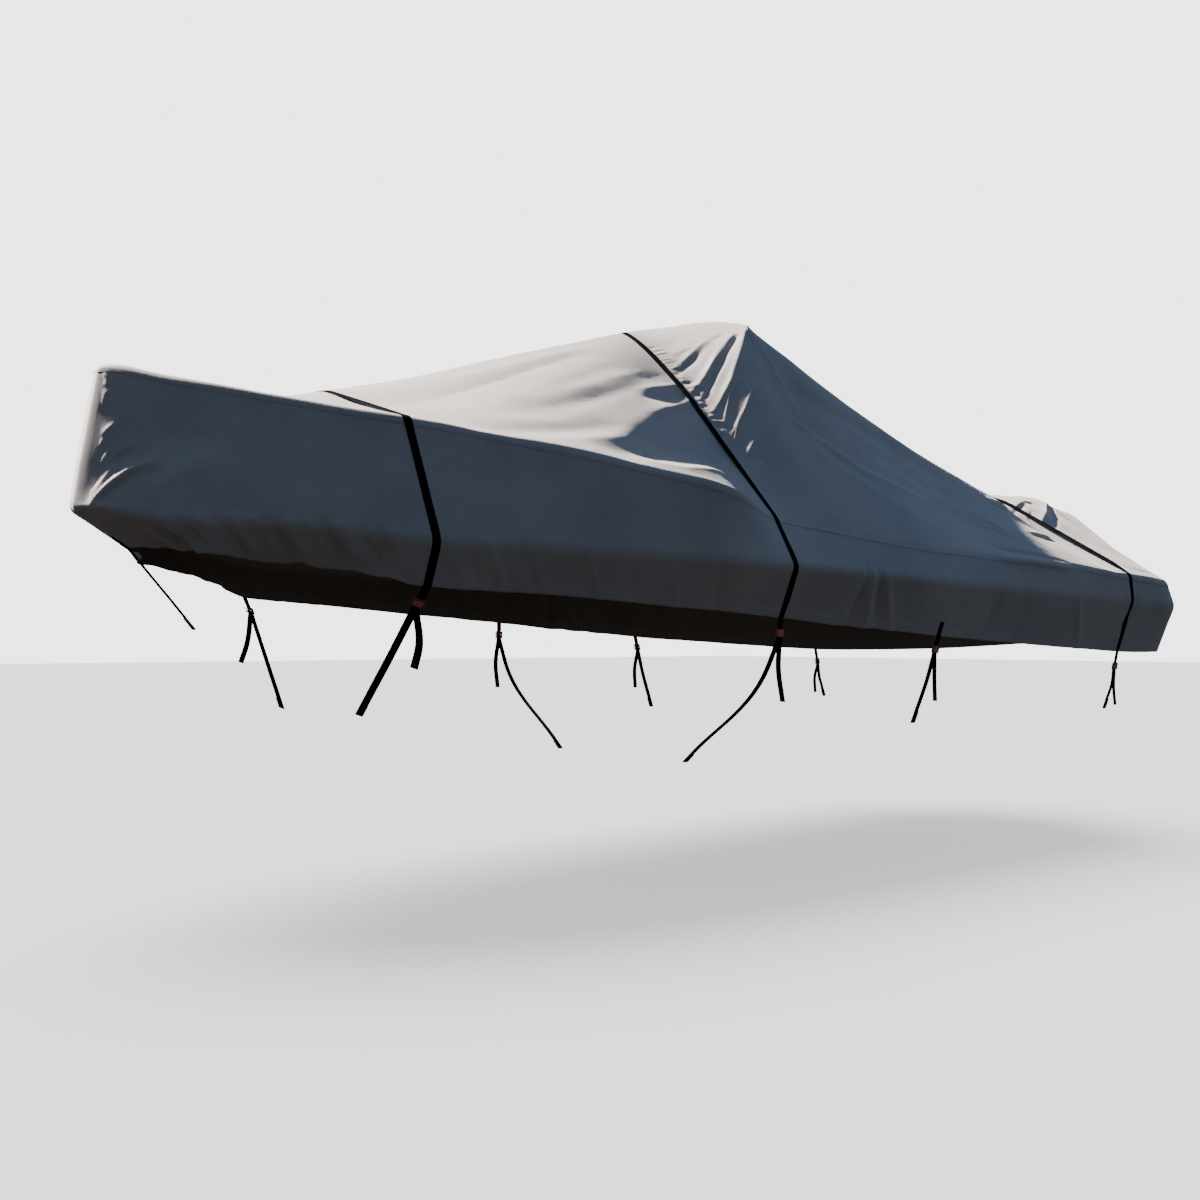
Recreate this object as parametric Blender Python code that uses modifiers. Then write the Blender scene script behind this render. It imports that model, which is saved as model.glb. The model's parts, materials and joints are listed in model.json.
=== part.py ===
"""A fitted boat cover of coated polyester, in the shape in which it hangs.

Metres, +Z up, +X towards the bow, +Y to port. The tables are drafted with x along the cover
and z above the floor; every piece is then moved so that the underside of the crown, the
highest part of the top, is the origin.
"""

import math

import bmesh
import bpy
import numpy as np
from mathutils import Matrix, Vector

# Driving dimensions
CROWN = np.array((0.970, 0.0, 2.740))
CLOTH = 0.002
SEAM = 0.0004
EDGE_ROUND = 0.020
RUB_ROUND = 0.028
SEAM_DROP = 0.012
PROBE = 0.010
WELD = 0.00002

# Rows of mesh: spine to shoulder, shoulder to mid, mid to edge, side and skirt
SPINE_ROWS = 3
SLOPE_ROWS = 4
LOWER_ROWS = 3
SIDE_ROWS = 3
SKIRT_ROWS = 3

# One row for each section of the port half, bow to stern; the starboard half is its mirror.
# shoulder is the share of the way from spine to edge where the top breaks, belly is how far
# the slope outside it stands over a straight line, and step is the mesh spacing after it.
COLUMNS = (
    "spine_x", "spine_z", "shoulder", "shoulder_z", "belly",
    "edge_x", "edge_y", "edge_z", "rub_x", "rub_y", "rub_z", "hem_x", "hem_y", "hem_z", "step",
)
SECTIONS = {
    "stem": (3.720, 2.100, 0.45, 2.104, 0.000,
             3.950, 0.000, 2.118, 4.040, 0.000, 1.600, 3.840, 0.000, 1.480, 0.030),
    "stem flat": (3.712, 2.100, 0.45, 2.104, 0.000,
                  3.950, 0.022, 2.118, 4.040, 0.022, 1.600, 3.840, 0.020, 1.480, 0.060),
    "stem round": (3.695, 2.098, 0.45, 2.098, 0.000,
                   3.928, 0.078, 2.113, 4.012, 0.086, 1.598, 3.822, 0.065, 1.479, 0.080),
    "bow quarter": (3.660, 2.092, 0.45, 2.080, 0.000,
                    3.868, 0.150, 2.092, 3.940, 0.172, 1.583, 3.765, 0.130, 1.475, 0.080),
    "bow drape": (3.600, 2.084, 0.45, 2.056, 0.000,
                  3.760, 0.252, 2.060, 3.830, 0.285, 1.520, 3.712, 0.225, 1.462, 0.080),
    "bow corner": (3.520, 2.078, 0.45, 2.040, 0.000,
                   3.630, 0.368, 2.030, 3.715, 0.405, 1.490, 3.680, 0.355, 1.446, 0.080),
    "bow pleat": (3.420, 2.074, 0.45, 2.030, -0.005,
                  3.520, 0.455, 2.005, 3.620, 0.485, 1.550, 3.550, 0.400, 1.430, 0.070),
    "bow side": (3.250, 2.090, 0.48, 2.015, -0.010,
                 3.300, 0.605, 1.961, 3.350, 0.690, 1.524, 3.280, 0.600, 1.392, 0.075),
    "forward tie": (3.100, 2.128, 0.5, 2.000, -0.014,
                    3.120, 0.712, 1.932, 3.080, 0.850, 1.490, 3.070, 0.765, 1.338, 0.140),
    "foredeck": (2.680, 2.240, 0.45, 2.065, -0.020,
                 2.640, 0.922, 1.856, 2.650, 0.985, 1.477, 2.620, 0.900, 1.314, 0.150),
    "hollow": (2.230, 2.387, 0.38, 2.185, -0.055,
               2.210, 1.018, 1.796, 2.200, 1.070, 1.463, 2.180, 0.965, 1.284, 0.130),
    "edge drop": (1.870, 2.500, 0.33, 2.305, -0.100,
                  1.850, 1.060, 1.737, 1.880, 1.115, 1.455, 1.860, 0.990, 1.264, 0.090),
    "middle tie": (1.520, 2.606, 0.32, 2.335, -0.012,
                   1.545, 0.985, 1.665, 1.567, 1.130, 1.447, 1.537, 1.012, 1.241, 0.075),
    "fore slope": (1.250, 2.675, 0.29, 2.545, -0.005,
                   1.270, 1.020, 1.632, 1.290, 1.143, 1.436, 1.260, 1.030, 1.218, 0.068),
    "peak": (0.985, 2.742, 0.285, 2.668, -0.020,
             1.000, 1.050, 1.605, 1.000, 1.150, 1.427, 0.980, 1.045, 1.200, 0.070),
    "behind peak": (0.790, 2.632, 0.28, 2.576, -0.020,
                    0.780, 1.065, 1.585, 0.780, 1.152, 1.420, 0.770, 1.052, 1.187, 0.090),
    "back slope": (0.530, 2.510, 0.28, 2.466, -0.020,
                   0.530, 1.075, 1.560, 0.530, 1.152, 1.410, 0.530, 1.060, 1.168, 0.150),
    "back middle": (0.000, 2.308, 0.275, 2.273, -0.028,
                    0.000, 1.090, 1.525, 0.000, 1.150, 1.392, 0.000, 1.062, 1.140, 0.170),
    "back foot": (-0.500, 2.157, 0.27, 2.123, -0.030,
                  -0.500, 1.110, 1.487, -0.500, 1.150, 1.376, -0.500, 1.062, 1.114, 0.150),
    "aft tie": (-1.070, 2.028, 0.26, 1.998, 0.010,
                -1.070, 1.132, 1.440, -1.070, 1.150, 1.360, -1.070, 1.058, 1.088, 0.085),
    "hump front": (-1.270, 2.042, 0.19, 2.022, -0.015,
                   -1.290, 1.128, 1.430, -1.290, 1.146, 1.350, -1.280, 1.055, 1.084, 0.090),
    "quarter": (-1.440, 2.050, 0.19, 2.030, -0.030,
                -1.490, 1.112, 1.425, -1.500, 1.140, 1.343, -1.475, 1.052, 1.083, 0.060),
    "stern corner": (-1.540, 2.052, 0.2, 2.034, -0.025,
                     -1.600, 1.060, 1.440, -1.620, 1.105, 1.340, -1.580, 1.020, 1.083, 0.070),
    "stern wing": (-1.600, 2.052, 0.22, 2.034, -0.020,
                   -1.665, 0.925, 1.515, -1.690, 0.965, 1.336, -1.640, 0.900, 1.085, 0.110),
    "stern half": (-1.660, 2.052, 0.27, 2.034, -0.010,
                   -1.765, 0.680, 1.680, -1.790, 0.715, 1.336, -1.740, 0.675, 1.090, 0.110),
    "stern inner": (-1.710, 2.050, 0.36, 2.030, 0.0,
                    -1.900, 0.440, 1.840, -1.935, 0.460, 1.342, -1.885, 0.440, 1.102, 0.100),
    "hump side": (-1.750, 2.046, 0.45, 2.026, 0.0,
                  -2.010, 0.245, 1.955, -2.060, 0.255, 1.352, -2.010, 0.245, 1.116, 0.080),
    "hump back": (-1.775, 2.044, 0.45, 2.030, 0.0,
                  -2.062, 0.095, 2.000, -2.118, 0.100, 1.360, -2.066, 0.095, 1.126, 0.070),
    "back flat": (-1.787, 2.043, 0.45, 2.030, 0.0,
                  -2.068, 0.024, 2.006, -2.124, 0.024, 1.361, -2.072, 0.022, 1.128, 0.040),
    "back centre": (-1.795, 2.042, 0.45, 2.030, 0.0,
                    -2.068, 0.000, 2.006, -2.124, 0.000, 1.361, -2.072, 0.000, 1.128, 0.040),
}
NAMES = tuple(SECTIONS)
TABLE = np.array([SECTIONS[name] for name in NAMES])
AT = {name: i for i, name in enumerate(COLUMNS)}


def distance_along():
    """Where each section stands along the rub line, in metres from the stem."""
    rub = TABLE[:, AT["rub_x"]:AT["rub_z"] + 1]
    return np.concatenate([[0.0], np.cumsum(np.linalg.norm(np.diff(rub, axis=0), axis=1))])


KNOTS = distance_along()
PLACE = dict(zip(NAMES, KNOTS))


def section_at(place):
    """The table's values at any place along the rub line, on one smooth curve a column."""
    i = int(np.clip(np.searchsorted(KNOTS, place, side="right") - 1, 0, len(KNOTS) - 2))
    low = max(i - 1, 0)
    high = min(i + 2, len(KNOTS) - 1)
    span = KNOTS[i + 1] - KNOTS[i]
    slope_a = (TABLE[i + 1] - TABLE[low]) / (KNOTS[i + 1] - KNOTS[low])
    slope_b = (TABLE[high] - TABLE[i]) / (KNOTS[high] - KNOTS[i])
    t = (place - KNOTS[i]) / span
    values = (
        (2 * t**3 - 3 * t**2 + 1) * TABLE[i]
        + (t**3 - 2 * t**2 + t) * span * slope_a
        + (3 * t**2 - 2 * t**3) * TABLE[i + 1]
        + (t**3 - t**2) * span * slope_b
    )
    return dict(zip(COLUMNS, values))


def heading(before, at, after):
    """Unit-speed direction of a smooth curve at one of its points."""
    back = np.linalg.norm(at - before)
    ahead = np.linalg.norm(after - at)
    return ((at - before) / back * ahead + (after - at) / ahead * back) / (back + ahead)


def curve_through(a, b, before, after, shares):
    """Points from a to b on a smooth curve that also heads for the points before and after."""
    length = np.linalg.norm(b - a)
    leave = heading(before, a, b) * length
    arrive = heading(a, b, after) * length
    return [
        (2 * t**3 - 3 * t**2 + 1) * a + (t**3 - 2 * t**2 + t) * leave
        + (3 * t**2 - 2 * t**3) * b + (t**3 - t**2) * arrive
        for t in shares
    ]


def corner_rows(inner, corner, outer):
    """A bend: the point before it, its rounded middle and the point after it."""
    return [inner, inner / 4 + corner / 2 + outer / 4, outer]


def towards(a, b, distance):
    return a + (b - a) / np.linalg.norm(b - a) * distance


def line_at(place):
    """The port half's outline across the cover, spine to hem, before folds."""
    s = section_at(place)
    spine = np.array((s["spine_x"], 0.0, s["spine_z"]))
    edge = np.array((s["edge_x"], s["edge_y"], s["edge_z"]))
    rub = np.array((s["rub_x"], s["rub_y"], s["rub_z"]))
    hem = np.array((s["hem_x"], s["hem_y"], s["hem_z"]))
    shoulder = spine + (edge - spine) * s["shoulder"]
    shoulder[2] = s["shoulder_z"]
    mid = (shoulder + edge) / 2
    mid[2] += s["belly"]
    mirror = np.array((2 * spine[0] - shoulder[0], -shoulder[1], shoulder[2]))
    side = np.linalg.norm(rub - edge)
    lower_run = np.linalg.norm(edge - mid)
    bend = min(EDGE_ROUND, 0.22 * side, 0.4 * lower_run)
    fold = min(RUB_ROUND, 0.25 * side, 0.3 * np.linalg.norm(hem - rub))
    beyond = 2 * edge - mid
    rows = curve_through(spine, shoulder, mirror, mid, np.arange(SPINE_ROWS) / SPINE_ROWS)
    rows += curve_through(shoulder, mid, spine, edge, np.arange(SLOPE_ROWS) / SLOPE_ROWS)
    shares = np.linspace(0.0, 1.0 - bend / lower_run, LOWER_ROWS + 1)
    rows += curve_through(mid, edge, shoulder, beyond, shares)
    rows += corner_rows(rows.pop(), edge, towards(edge, rub, bend))
    seam = towards(edge, rub, bend + SEAM_DROP)
    lower = towards(rub, edge, fold)
    rows += [seam + (lower - seam) * t for t in np.arange(SIDE_ROWS) / SIDE_ROWS]
    tuck = towards(rub, hem, fold)
    rows += corner_rows(lower, rub, tuck)
    rows += [tuck + (hem - tuck) * (t + 1) / SKIRT_ROWS for t in range(SKIRT_ROWS)]
    return np.array(rows)


DECK_ROWS = SPINE_ROWS + SLOPE_ROWS + LOWER_ROWS + 3
RUB_ROW = DECK_ROWS + SIDE_ROWS + 1
HEM_ROW = RUB_ROW + 1 + SKIRT_ROWS

# Folds of the hanging cloth, port side: from one point to another, how wide each is at both
# ends, and how far its crest stands out of the cloth (a trough is negative). The starboard
# side has their twins, a little lower and further aft.
FOLD_COLUMNS = ("from_point", "to_point", "from_width", "to_width", "height")
FOLDS = {
    "peak ridge": ((1.05, 0.34, 2.62), (1.45, 0.55, 2.20), 0.030, 0.050, 0.024),
    "peak ridge foot": ((1.32, 0.52, 2.27), (1.49, 0.63, 2.08), 0.025, 0.035, 0.012),
    "peak trough": ((1.15, 0.36, 2.53), (1.46, 0.47, 2.26), 0.025, 0.045, -0.022),
    "second ridge": ((1.13, 0.32, 2.58), (1.49, 0.41, 2.31), 0.030, 0.050, 0.020),
    "second trough": ((1.20, 0.30, 2.56), (1.50, 0.32, 2.40), 0.030, 0.040, -0.016),
    "third ridge": ((1.20, 0.22, 2.61), (1.54, 0.22, 2.49), 0.030, 0.050, 0.010),
    "side ridge": ((1.19, 0.52, 2.32), (1.46, 0.67, 2.05), 0.020, 0.030, 0.012),
    "corner crease": ((1.00, 0.32, 2.65), (1.08, 0.45, 2.50), 0.020, 0.035, 0.010),
    "hollow rim": ((1.57, 0.33, 2.36), (1.87, 0.38, 2.27), 0.030, 0.060, -0.014),
    "hollow crease": ((1.57, 0.45, 2.26), (1.82, 0.49, 2.17), 0.030, 0.050, -0.020),
    "hollow ridge": ((1.58, 0.51, 2.20), (1.84, 0.54, 2.11), 0.025, 0.050, 0.014),
    "long trough": ((1.93, 0.44, 2.21), (2.62, 0.58, 1.98), 0.060, 0.110, -0.020),
    "long ridge": ((1.80, 0.40, 2.27), (2.72, 0.42, 2.08), 0.060, 0.100, 0.012),
    "low trough": ((2.02, 0.58, 2.04), (2.54, 0.76, 1.90), 0.050, 0.090, -0.014),
    "fore streak": ((2.30, 0.20, 2.33), (3.05, 0.30, 2.07), 0.070, 0.090, -0.010),
    "back ridge": ((0.95, 0.62, 2.22), (-0.15, 0.80, 1.77), 0.050, 0.070, 0.012),
    "back trough": ((0.70, 0.48, 2.30), (-0.40, 0.66, 1.87), 0.050, 0.080, -0.012),
    "back crease": ((0.10, 0.64, 1.92), (-0.72, 0.88, 1.64), 0.035, 0.045, 0.013),
    "back low crease": ((0.00, 0.84, 1.75), (-0.70, 0.95, 1.59), 0.030, 0.045, 0.010),
    "dip crease": ((-0.42, 0.58, 1.90), (-0.97, 0.86, 1.63), 0.035, 0.045, 0.012),
    "shelf": ((0.05, 1.02, 1.59), (-0.72, 1.03, 1.54), 0.040, 0.045, 0.014),
    "dip fold": ((-1.04, 0.76, 1.71), (-0.78, 0.68, 1.77), 0.040, 0.050, -0.018),
    "hump front trough": ((-1.40, 0.26, 2.01), (-1.12, 0.50, 1.90), 0.045, 0.055, -0.024),
    "hump ridge": ((-1.50, 0.25, 2.02), (-1.20, 0.60, 1.79), 0.040, 0.060, 0.024),
    "hump trough": ((-1.60, 0.26, 2.01), (-1.32, 0.60, 1.79), 0.040, 0.055, -0.028),
    "hump wing": ((-1.74, 0.30, 1.97), (-1.58, 0.78, 1.63), 0.050, 0.070, 0.014),
    "stern pull": ((-1.30, 0.72, 1.68), (-1.58, 0.98, 1.49), 0.050, 0.050, -0.010),
    "bow pull": ((3.99, 0.10, 1.64), (3.80, 0.27, 1.79), 0.030, 0.045, 0.014),
    "bow upper pull": ((3.97, 0.11, 1.73), (3.86, 0.21, 1.86), 0.022, 0.030, 0.008),
}
FOLD_END = 0.12
TWIN_LAG = 0.05
TWIN_SHARE = 0.8

# Folds of the tucked skirt: where each leaves the rub line and where it meets the hem, in
# metres along the rub line from the stem, and how far it stands out.
SKIRT_FOLDS = (
    (0.62, 0.70, 0.014), (0.74, 0.83, -0.012), (0.80, 0.90, 0.013), (0.92, 1.02, -0.012),
    (0.98, 1.09, 0.012), (1.11, 1.20, -0.010), (1.21, 1.27, 0.009), (1.72, 1.66, 0.006),
    (2.45, 2.52, -0.006), (2.90, 2.84, 0.007), (3.26, 3.16, 0.012), (3.29, 3.25, -0.012),
    (3.32, 3.35, 0.013), (3.36, 3.44, -0.010), (3.40, 3.53, 0.011), (4.30, 4.20, -0.007),
    (4.95, 5.08, 0.007), (5.55, 5.40, -0.006), (6.30, 6.34, 0.008), (6.85, 6.80, -0.008),
)
SKIRT_FOLD_WIDTH = (0.022, 0.040)


def all_folds():
    """Every fold of both sides, as rows of the fold columns."""
    found = [dict(zip(FOLD_COLUMNS, fold)) for fold in FOLDS.values()]
    for top, foot, height in SKIRT_FOLDS:
        found.append({
            "from_point": line_at(top)[RUB_ROW],
            "to_point": line_at(foot)[HEM_ROW],
            "from_width": SKIRT_FOLD_WIDTH[0],
            "to_width": SKIRT_FOLD_WIDTH[1],
            "height": height,
        })
    twins = []
    for fold in found:
        twin = dict(fold)
        for end in ("from_point", "to_point"):
            x, y, z = fold[end]
            twin[end] = (x - TWIN_LAG, -y, z)
        twin["height"] = fold["height"] * TWIN_SHARE
        twins.append(twin)
    return found + twins


def fold_height(points):
    """How far all the folds lift each point along the cloth's normal."""
    lift = np.zeros(len(points))
    for f in ALL_FOLDS:
        a = np.array(f["from_point"])
        run = np.array(f["to_point"]) - a
        t = np.clip((points - a) @ run / (run @ run), 0.0, 1.0)
        off = np.linalg.norm(points - a - t[:, None] * run, axis=1)
        width = f["from_width"] + (f["to_width"] - f["from_width"]) * t
        swell = np.sin(math.pi * (FOLD_END + (1 - 2 * FOLD_END) * t))
        lift += f["height"] * np.exp(-((off / width) ** 2)) * swell
    return lift


ALL_FOLDS = all_folds()


def normals_of(place, rows):
    """Outward unit normals of the port half's line."""
    low = max(place - PROBE, 0.0)
    high = min(place + PROBE, KNOTS[-1])
    along = line_at(high) - line_at(low)
    across = np.gradient(rows, axis=0)
    normals = np.cross(across, along)
    normals[0] = (along[0, 2], 0.0, -along[0, 0])
    if place <= 0.0 or place >= KNOTS[-1]:
        normals[:, 1] = 0.0
    normals /= np.linalg.norm(normals, axis=1)[:, None]
    return normals, along / np.linalg.norm(along, axis=1)[:, None]


def hung_line(place, side):
    """One half's outline with its folds, its normals and its run along the cover."""
    rows = line_at(place)
    normals, along = normals_of(place, rows)
    for grid in (rows, normals, along):
        grid[:, 1] *= side
    return rows + normals * fold_height(rows)[:, None], normals, along


WEB_WIDTH = 0.030
WEB = 0.0016
WEB_GAP = 0.0005
BAND = WEB_WIDTH / 2 + 0.0025
SEAM_BAND = 0.012
TIES = ("forward tie", "middle tie", "aft tie")
TAB = "back slope"
STERN_SEAM = "stern wing"


def stations():
    """Places of the mesh lines, with a narrow flat band under each webbing and stern seam."""
    bands = {name: (BAND, -BAND) for name in (*TIES, TAB)}
    bands[STERN_SEAM] = (SEAM_BAND, 0.0, -SEAM_BAND)
    found = []
    for i in range(len(NAMES) - 1):
        span = KNOTS[i + 1] - KNOTS[i]
        count = max(1, round(span / TABLE[i, AT["step"]]))
        found += [(KNOTS[i], shift) for shift in bands.get(NAMES[i], (0.0,))]
        found += [(KNOTS[i] + span * n / count, 0.0) for n in range(1, count)]
    return found + [(KNOTS[-1], 0.0)]


STATIONS = stations()


def half(side):
    """Grid of one half of the cover: station, row, xyz."""
    lines = []
    for place, shift in STATIONS:
        rows, _, along = hung_line(place, side)
        lines.append(rows - along * shift)
    return np.array(lines)


PORT = half(1)
STARBOARD = half(-1)
CORNER = STATIONS.index((PLACE[STERN_SEAM], 0.0))


def material(name, colour, roughness):
    made = bpy.data.materials.new(name)
    made.use_nodes = True
    shader = made.node_tree.nodes["Principled BSDF"]
    shader.inputs["Base Color"].default_value = (*colour, 1.0)
    shader.inputs["Roughness"].default_value = roughness
    return made


def clear_scene():
    for item in list(bpy.data.objects):
        bpy.data.objects.remove(item, do_unlink=True)


def collection(name):
    made = bpy.data.collections.new(name)
    bpy.context.scene.collection.children.link(made)
    return made


def place_mesh(name, mesh, finish, into):
    """An object of this mesh, moved from the drafting frame to the origin under the crown."""
    mesh.transform(Matrix.Translation(-Vector(CROWN)))
    mesh.materials.append(finish)
    item = bpy.data.objects.new(name, mesh)
    into.objects.link(item)
    return item


def sheet(name, grids, thickness, finish, into):
    """An open surface of grids of points, joined where they meet, and thickened inwards."""
    surface = bmesh.new()
    for grid, turned in grids:
        points = [[surface.verts.new(p) for p in line] for line in grid]
        for a, b in zip(points, points[1:]):
            for p, q, r, s in zip(a, a[1:], b[1:], b):
                surface.faces.new((p, s, r, q) if turned else (p, q, r, s))
    bmesh.ops.remove_doubles(surface, verts=surface.verts, dist=WELD)
    mesh = bpy.data.meshes.new(name)
    surface.to_mesh(mesh)
    surface.free()
    mesh.shade_smooth()
    item = place_mesh(name, mesh, finish, into)
    solid = item.modifiers.new("Thickness", "SOLIDIFY")
    solid.thickness = thickness
    solid.offset = -1.0
    solid.use_even_offset = True
    return item


def seam_gap(grid, first, last):
    """The grid with its first or last row drawn back by half a seam's gap."""
    made = grid.copy()
    for line in made:
        if first:
            line[0] = towards(line[0], line[1], SEAM / 2)
        if last:
            line[-1] = towards(line[-1], line[-2], SEAM / 2)
    return made


def back_from(grid, end):
    """The grid with its first (0) or last (-1) station drawn back by half a seam's gap."""
    made = grid.copy()
    inner = 1 if end == 0 else -2
    for r in range(made.shape[1]):
        made[end, r] = towards(made[end, r], made[inner, r], SEAM / 2)
    return made


# Webbing below the hem, port side: the buckle's middle, a knee where the lower run turns
# inwards, its lower end and the tip of its free tail. The starboard side is its mirror.
DROPS = {
    "forward tie": {"buckle": (3.074, 0.712, 1.281), "knee": (3.085, 0.530, 1.085),
                    "end": (3.10, 0.330, 0.870), "tail": (3.085, 0.735, 1.050)},
    "middle tie": {"buckle": (1.540, 1.010, 1.178), "knee": (1.545, 0.926, 1.000),
                   "end": (1.55, 0.454, 0.610), "tail": (1.550, 1.025, 0.896)},
    "back slope": {"buckle": (0.53, 1.045, 1.108), "knee": (0.53, 1.000, 0.970),
                   "end": (0.53, 0.917, 0.765), "tail": (0.54, 1.050, 0.870)},
    "aft tie": {"buckle": (-1.07, 1.047, 1.009), "knee": (-1.07, 1.030, 0.910),
                "end": (-1.07, 0.985, 0.780), "tail": (-1.06, 1.055, 0.800)},
}
PIECE_NAMES = dict(zip(DROPS, ("forward", "middle", "hem", "aft")))
TAB_LENGTH = 0.060
BOW_STRAP = {"sewn": 0.070, "knee": (3.680, 0.0, 1.287), "end": (3.600, 0.0, 1.190)}

# Cam buckle: outer size across, along and through the webbing
BUCKLE = (0.042, 0.036, 0.0116)
BUCKLE_ROUND = 0.0015
SLOT_WIDTH = WEB_WIDTH + 0.0012
SLOT_HEIGHT = WEB + 0.0010
LAYER = 0.0025
LEAD = 0.006
FIXED_END = 0.003
TURN = (0.001, 0.0064)
TURN_ROOM = 0.0008
TURN_STEPS = 5
ROUTE_STEPS = 2
FOLD_BACK = 0.055
FOLD_BACK_TURN = 0.0017
TAIL_SWAY = 0.012


def ribbon(name, points, across, finish, into, offset, rising=0):
    """Flat webbing along these points, its width along the across vectors.

    Its first lengths, as many as rising, run up towards the spine and the rest run down, so
    that each of its halved quads is halved the same way as the cloth's under it.
    """
    surface = bmesh.new()
    reach = WEB_WIDTH / 2
    pairs = [
        (surface.verts.new(p - a * reach), surface.verts.new(p + a * reach))
        for p, a in zip(points, across)
    ]
    for i, ((a, b), (c, d)) in enumerate(zip(pairs, pairs[1:])):
        halves = ((a, b, c), (b, d, c)) if i < rising else ((a, b, d), (a, d, c))
        for corners in halves:
            surface.faces.new(corners)
    mesh = bpy.data.meshes.new(name)
    surface.to_mesh(mesh)
    surface.free()
    item = place_mesh(name, mesh, finish, into)
    solid = item.modifiers.new("Thickness", "SOLIDIFY")
    solid.thickness = WEB
    solid.offset = offset
    solid.use_even_offset = True
    return item


def mirrored(point, side):
    return np.array((point[0], point[1] * side, point[2]))


def hem_frame(name, side):
    """The hem's webbing point, and the buckle's axes: across, down and outwards."""
    rows, normals, along = hung_line(PLACE[name], side)
    start = rows[-1] + normals[-1] * (WEB_GAP + WEB / 2)
    middle = mirrored(DROPS[name]["buckle"], side)
    down = (middle - start) / np.linalg.norm(middle - start)
    out = normals[-1] - down * (normals[-1] @ down)
    out /= np.linalg.norm(out)
    return middle, np.cross(down, out), down, out


def upper_end(name, side):
    """The upper webbing's last two points, above the buckle and inside it, and its across."""
    middle, across, down, out = hem_frame(name, side)
    inner = middle - out * WEB / 2
    return [inner - down * (BUCKLE[1] / 2 + LEAD), inner - down * FIXED_END], [across, across]


def tie_over(name, finish, into):
    """Webbing over the whole cover, from the port buckle to the starboard one."""
    points = []
    across = []
    for side in (1, -1):
        rows, normals, along = hung_line(PLACE[name], side)
        low_points, low_across = upper_end(name, side)
        half_points = list(rows + normals * WEB_GAP) + low_points
        half_across = list(along) + [-side * a for a in low_across]
        if side > 0:
            points = half_points[::-1]
            across = half_across[::-1]
        else:
            points += half_points[1:]
            across += half_across[1:]
    rising = len(points) // 2
    return ribbon(f"tie_{PIECE_NAMES[name]}", points, across, finish, into, 1.0, rising)


def hem_tab(side_name, side, finish, into):
    """Short webbing sewn on the skirt, down to its buckle."""
    rows, normals, along = hung_line(PLACE[TAB], side)
    top = towards(rows[-1], rows[-2], TAB_LENGTH)
    low_points, low_across = upper_end(TAB, side)
    lift = normals[-1] * WEB_GAP
    points = [top + lift, rows[-1] + lift, *low_points]
    across = [along[-1], along[-1], *(-side * a for a in low_across)]
    if side > 0:
        points.reverse()
        across.reverse()
    rising = len(points) if side > 0 else 0
    return ribbon(f"tab_{side_name}", points, across, finish, into, 1.0, rising)


def smooth_route(points, steps):
    """A smooth curve through a short list of points."""
    found = []
    for i in range(len(points) - 1):
        before = points[i - 1] if i else 2 * points[0] - points[1]
        after = points[i + 2] if i + 2 < len(points) else 2 * points[-1] - points[-2]
        found += curve_through(points[i], points[i + 1], before, after, np.arange(steps) / steps)
    return found + [points[-1]]


def fold_back(end, direction, out):
    """The lower end of a run, turned back on itself and sewn flat."""
    turn = [
        end + out * FOLD_BACK_TURN * (1 - math.cos(a)) + direction * FOLD_BACK_TURN * math.sin(a)
        for a in np.linspace(0.0, math.pi, TURN_STEPS)
    ]
    return turn + [turn[-1] - direction * FOLD_BACK]


def lower_run(name, side_name, side, finish, into):
    """Webbing from its sewn lower end, up through the buckle's cam and down as the free tail."""
    middle, across, down, out = hem_frame(name, side)
    drop = {key: mirrored(point, side) for key, point in DROPS[name].items()}
    low = middle + down * (BUCKLE[1] / 2 + LEAD)
    high = middle + down * (TURN[0] + LAYER + WEB / 2 + TURN_ROOM)
    lead = towards(drop["end"], drop["knee"], FOLD_BACK + LEAD)
    run = [*smooth_route([low - out * LAYER, drop["knee"], lead], ROUTE_STEPS), drop["end"]]
    heading_down = (run[-1] - run[-2]) / np.linalg.norm(run[-1] - run[-2])
    back = out - heading_down * (out @ heading_down)
    back /= np.linalg.norm(back)
    turn = [
        high - out * LAYER * math.cos(a) - down * LAYER * math.sin(a)
        for a in np.linspace(0.0, math.pi, TURN_STEPS)
    ]
    tail_start = low + out * LAYER
    tail_middle = (tail_start + drop["tail"]) / 2 + out * TAIL_SWAY
    points = fold_back(run[-1], heading_down, back)[::-1] + run[-2::-1]
    points += turn + smooth_route([tail_start, tail_middle, drop["tail"]], ROUTE_STEPS)
    return ribbon(
        f"lower_{PIECE_NAMES[name]}_{side_name}", points, [across] * len(points), finish, into, 0.0
    )


def bow_strap(finish, into):
    """Webbing sewn under the bow, along the stem seam, and down to its sewn end."""
    rows, normals, _ = hung_line(0.0, 1)
    sewn = towards(rows[-1], rows[-2], BOW_STRAP["sewn"])
    lift = normals[-1] * (WEB_GAP + WEB / 2)
    knee = np.array(BOW_STRAP["knee"])
    end = np.array(BOW_STRAP["end"])
    run = [sewn + lift, rows[-1] + lift, (rows[-1] + lift + knee) / 2, knee, end]
    down = (end - knee) / np.linalg.norm(end - knee)
    back = np.array((down[2], 0.0, -down[0]))
    points = run[:-1] + fold_back(end, down, -back)
    across = [np.array((0.0, 1.0, 0.0))] * len(points)
    return ribbon("bow_strap", points, across, finish, into, 0.0)


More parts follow.
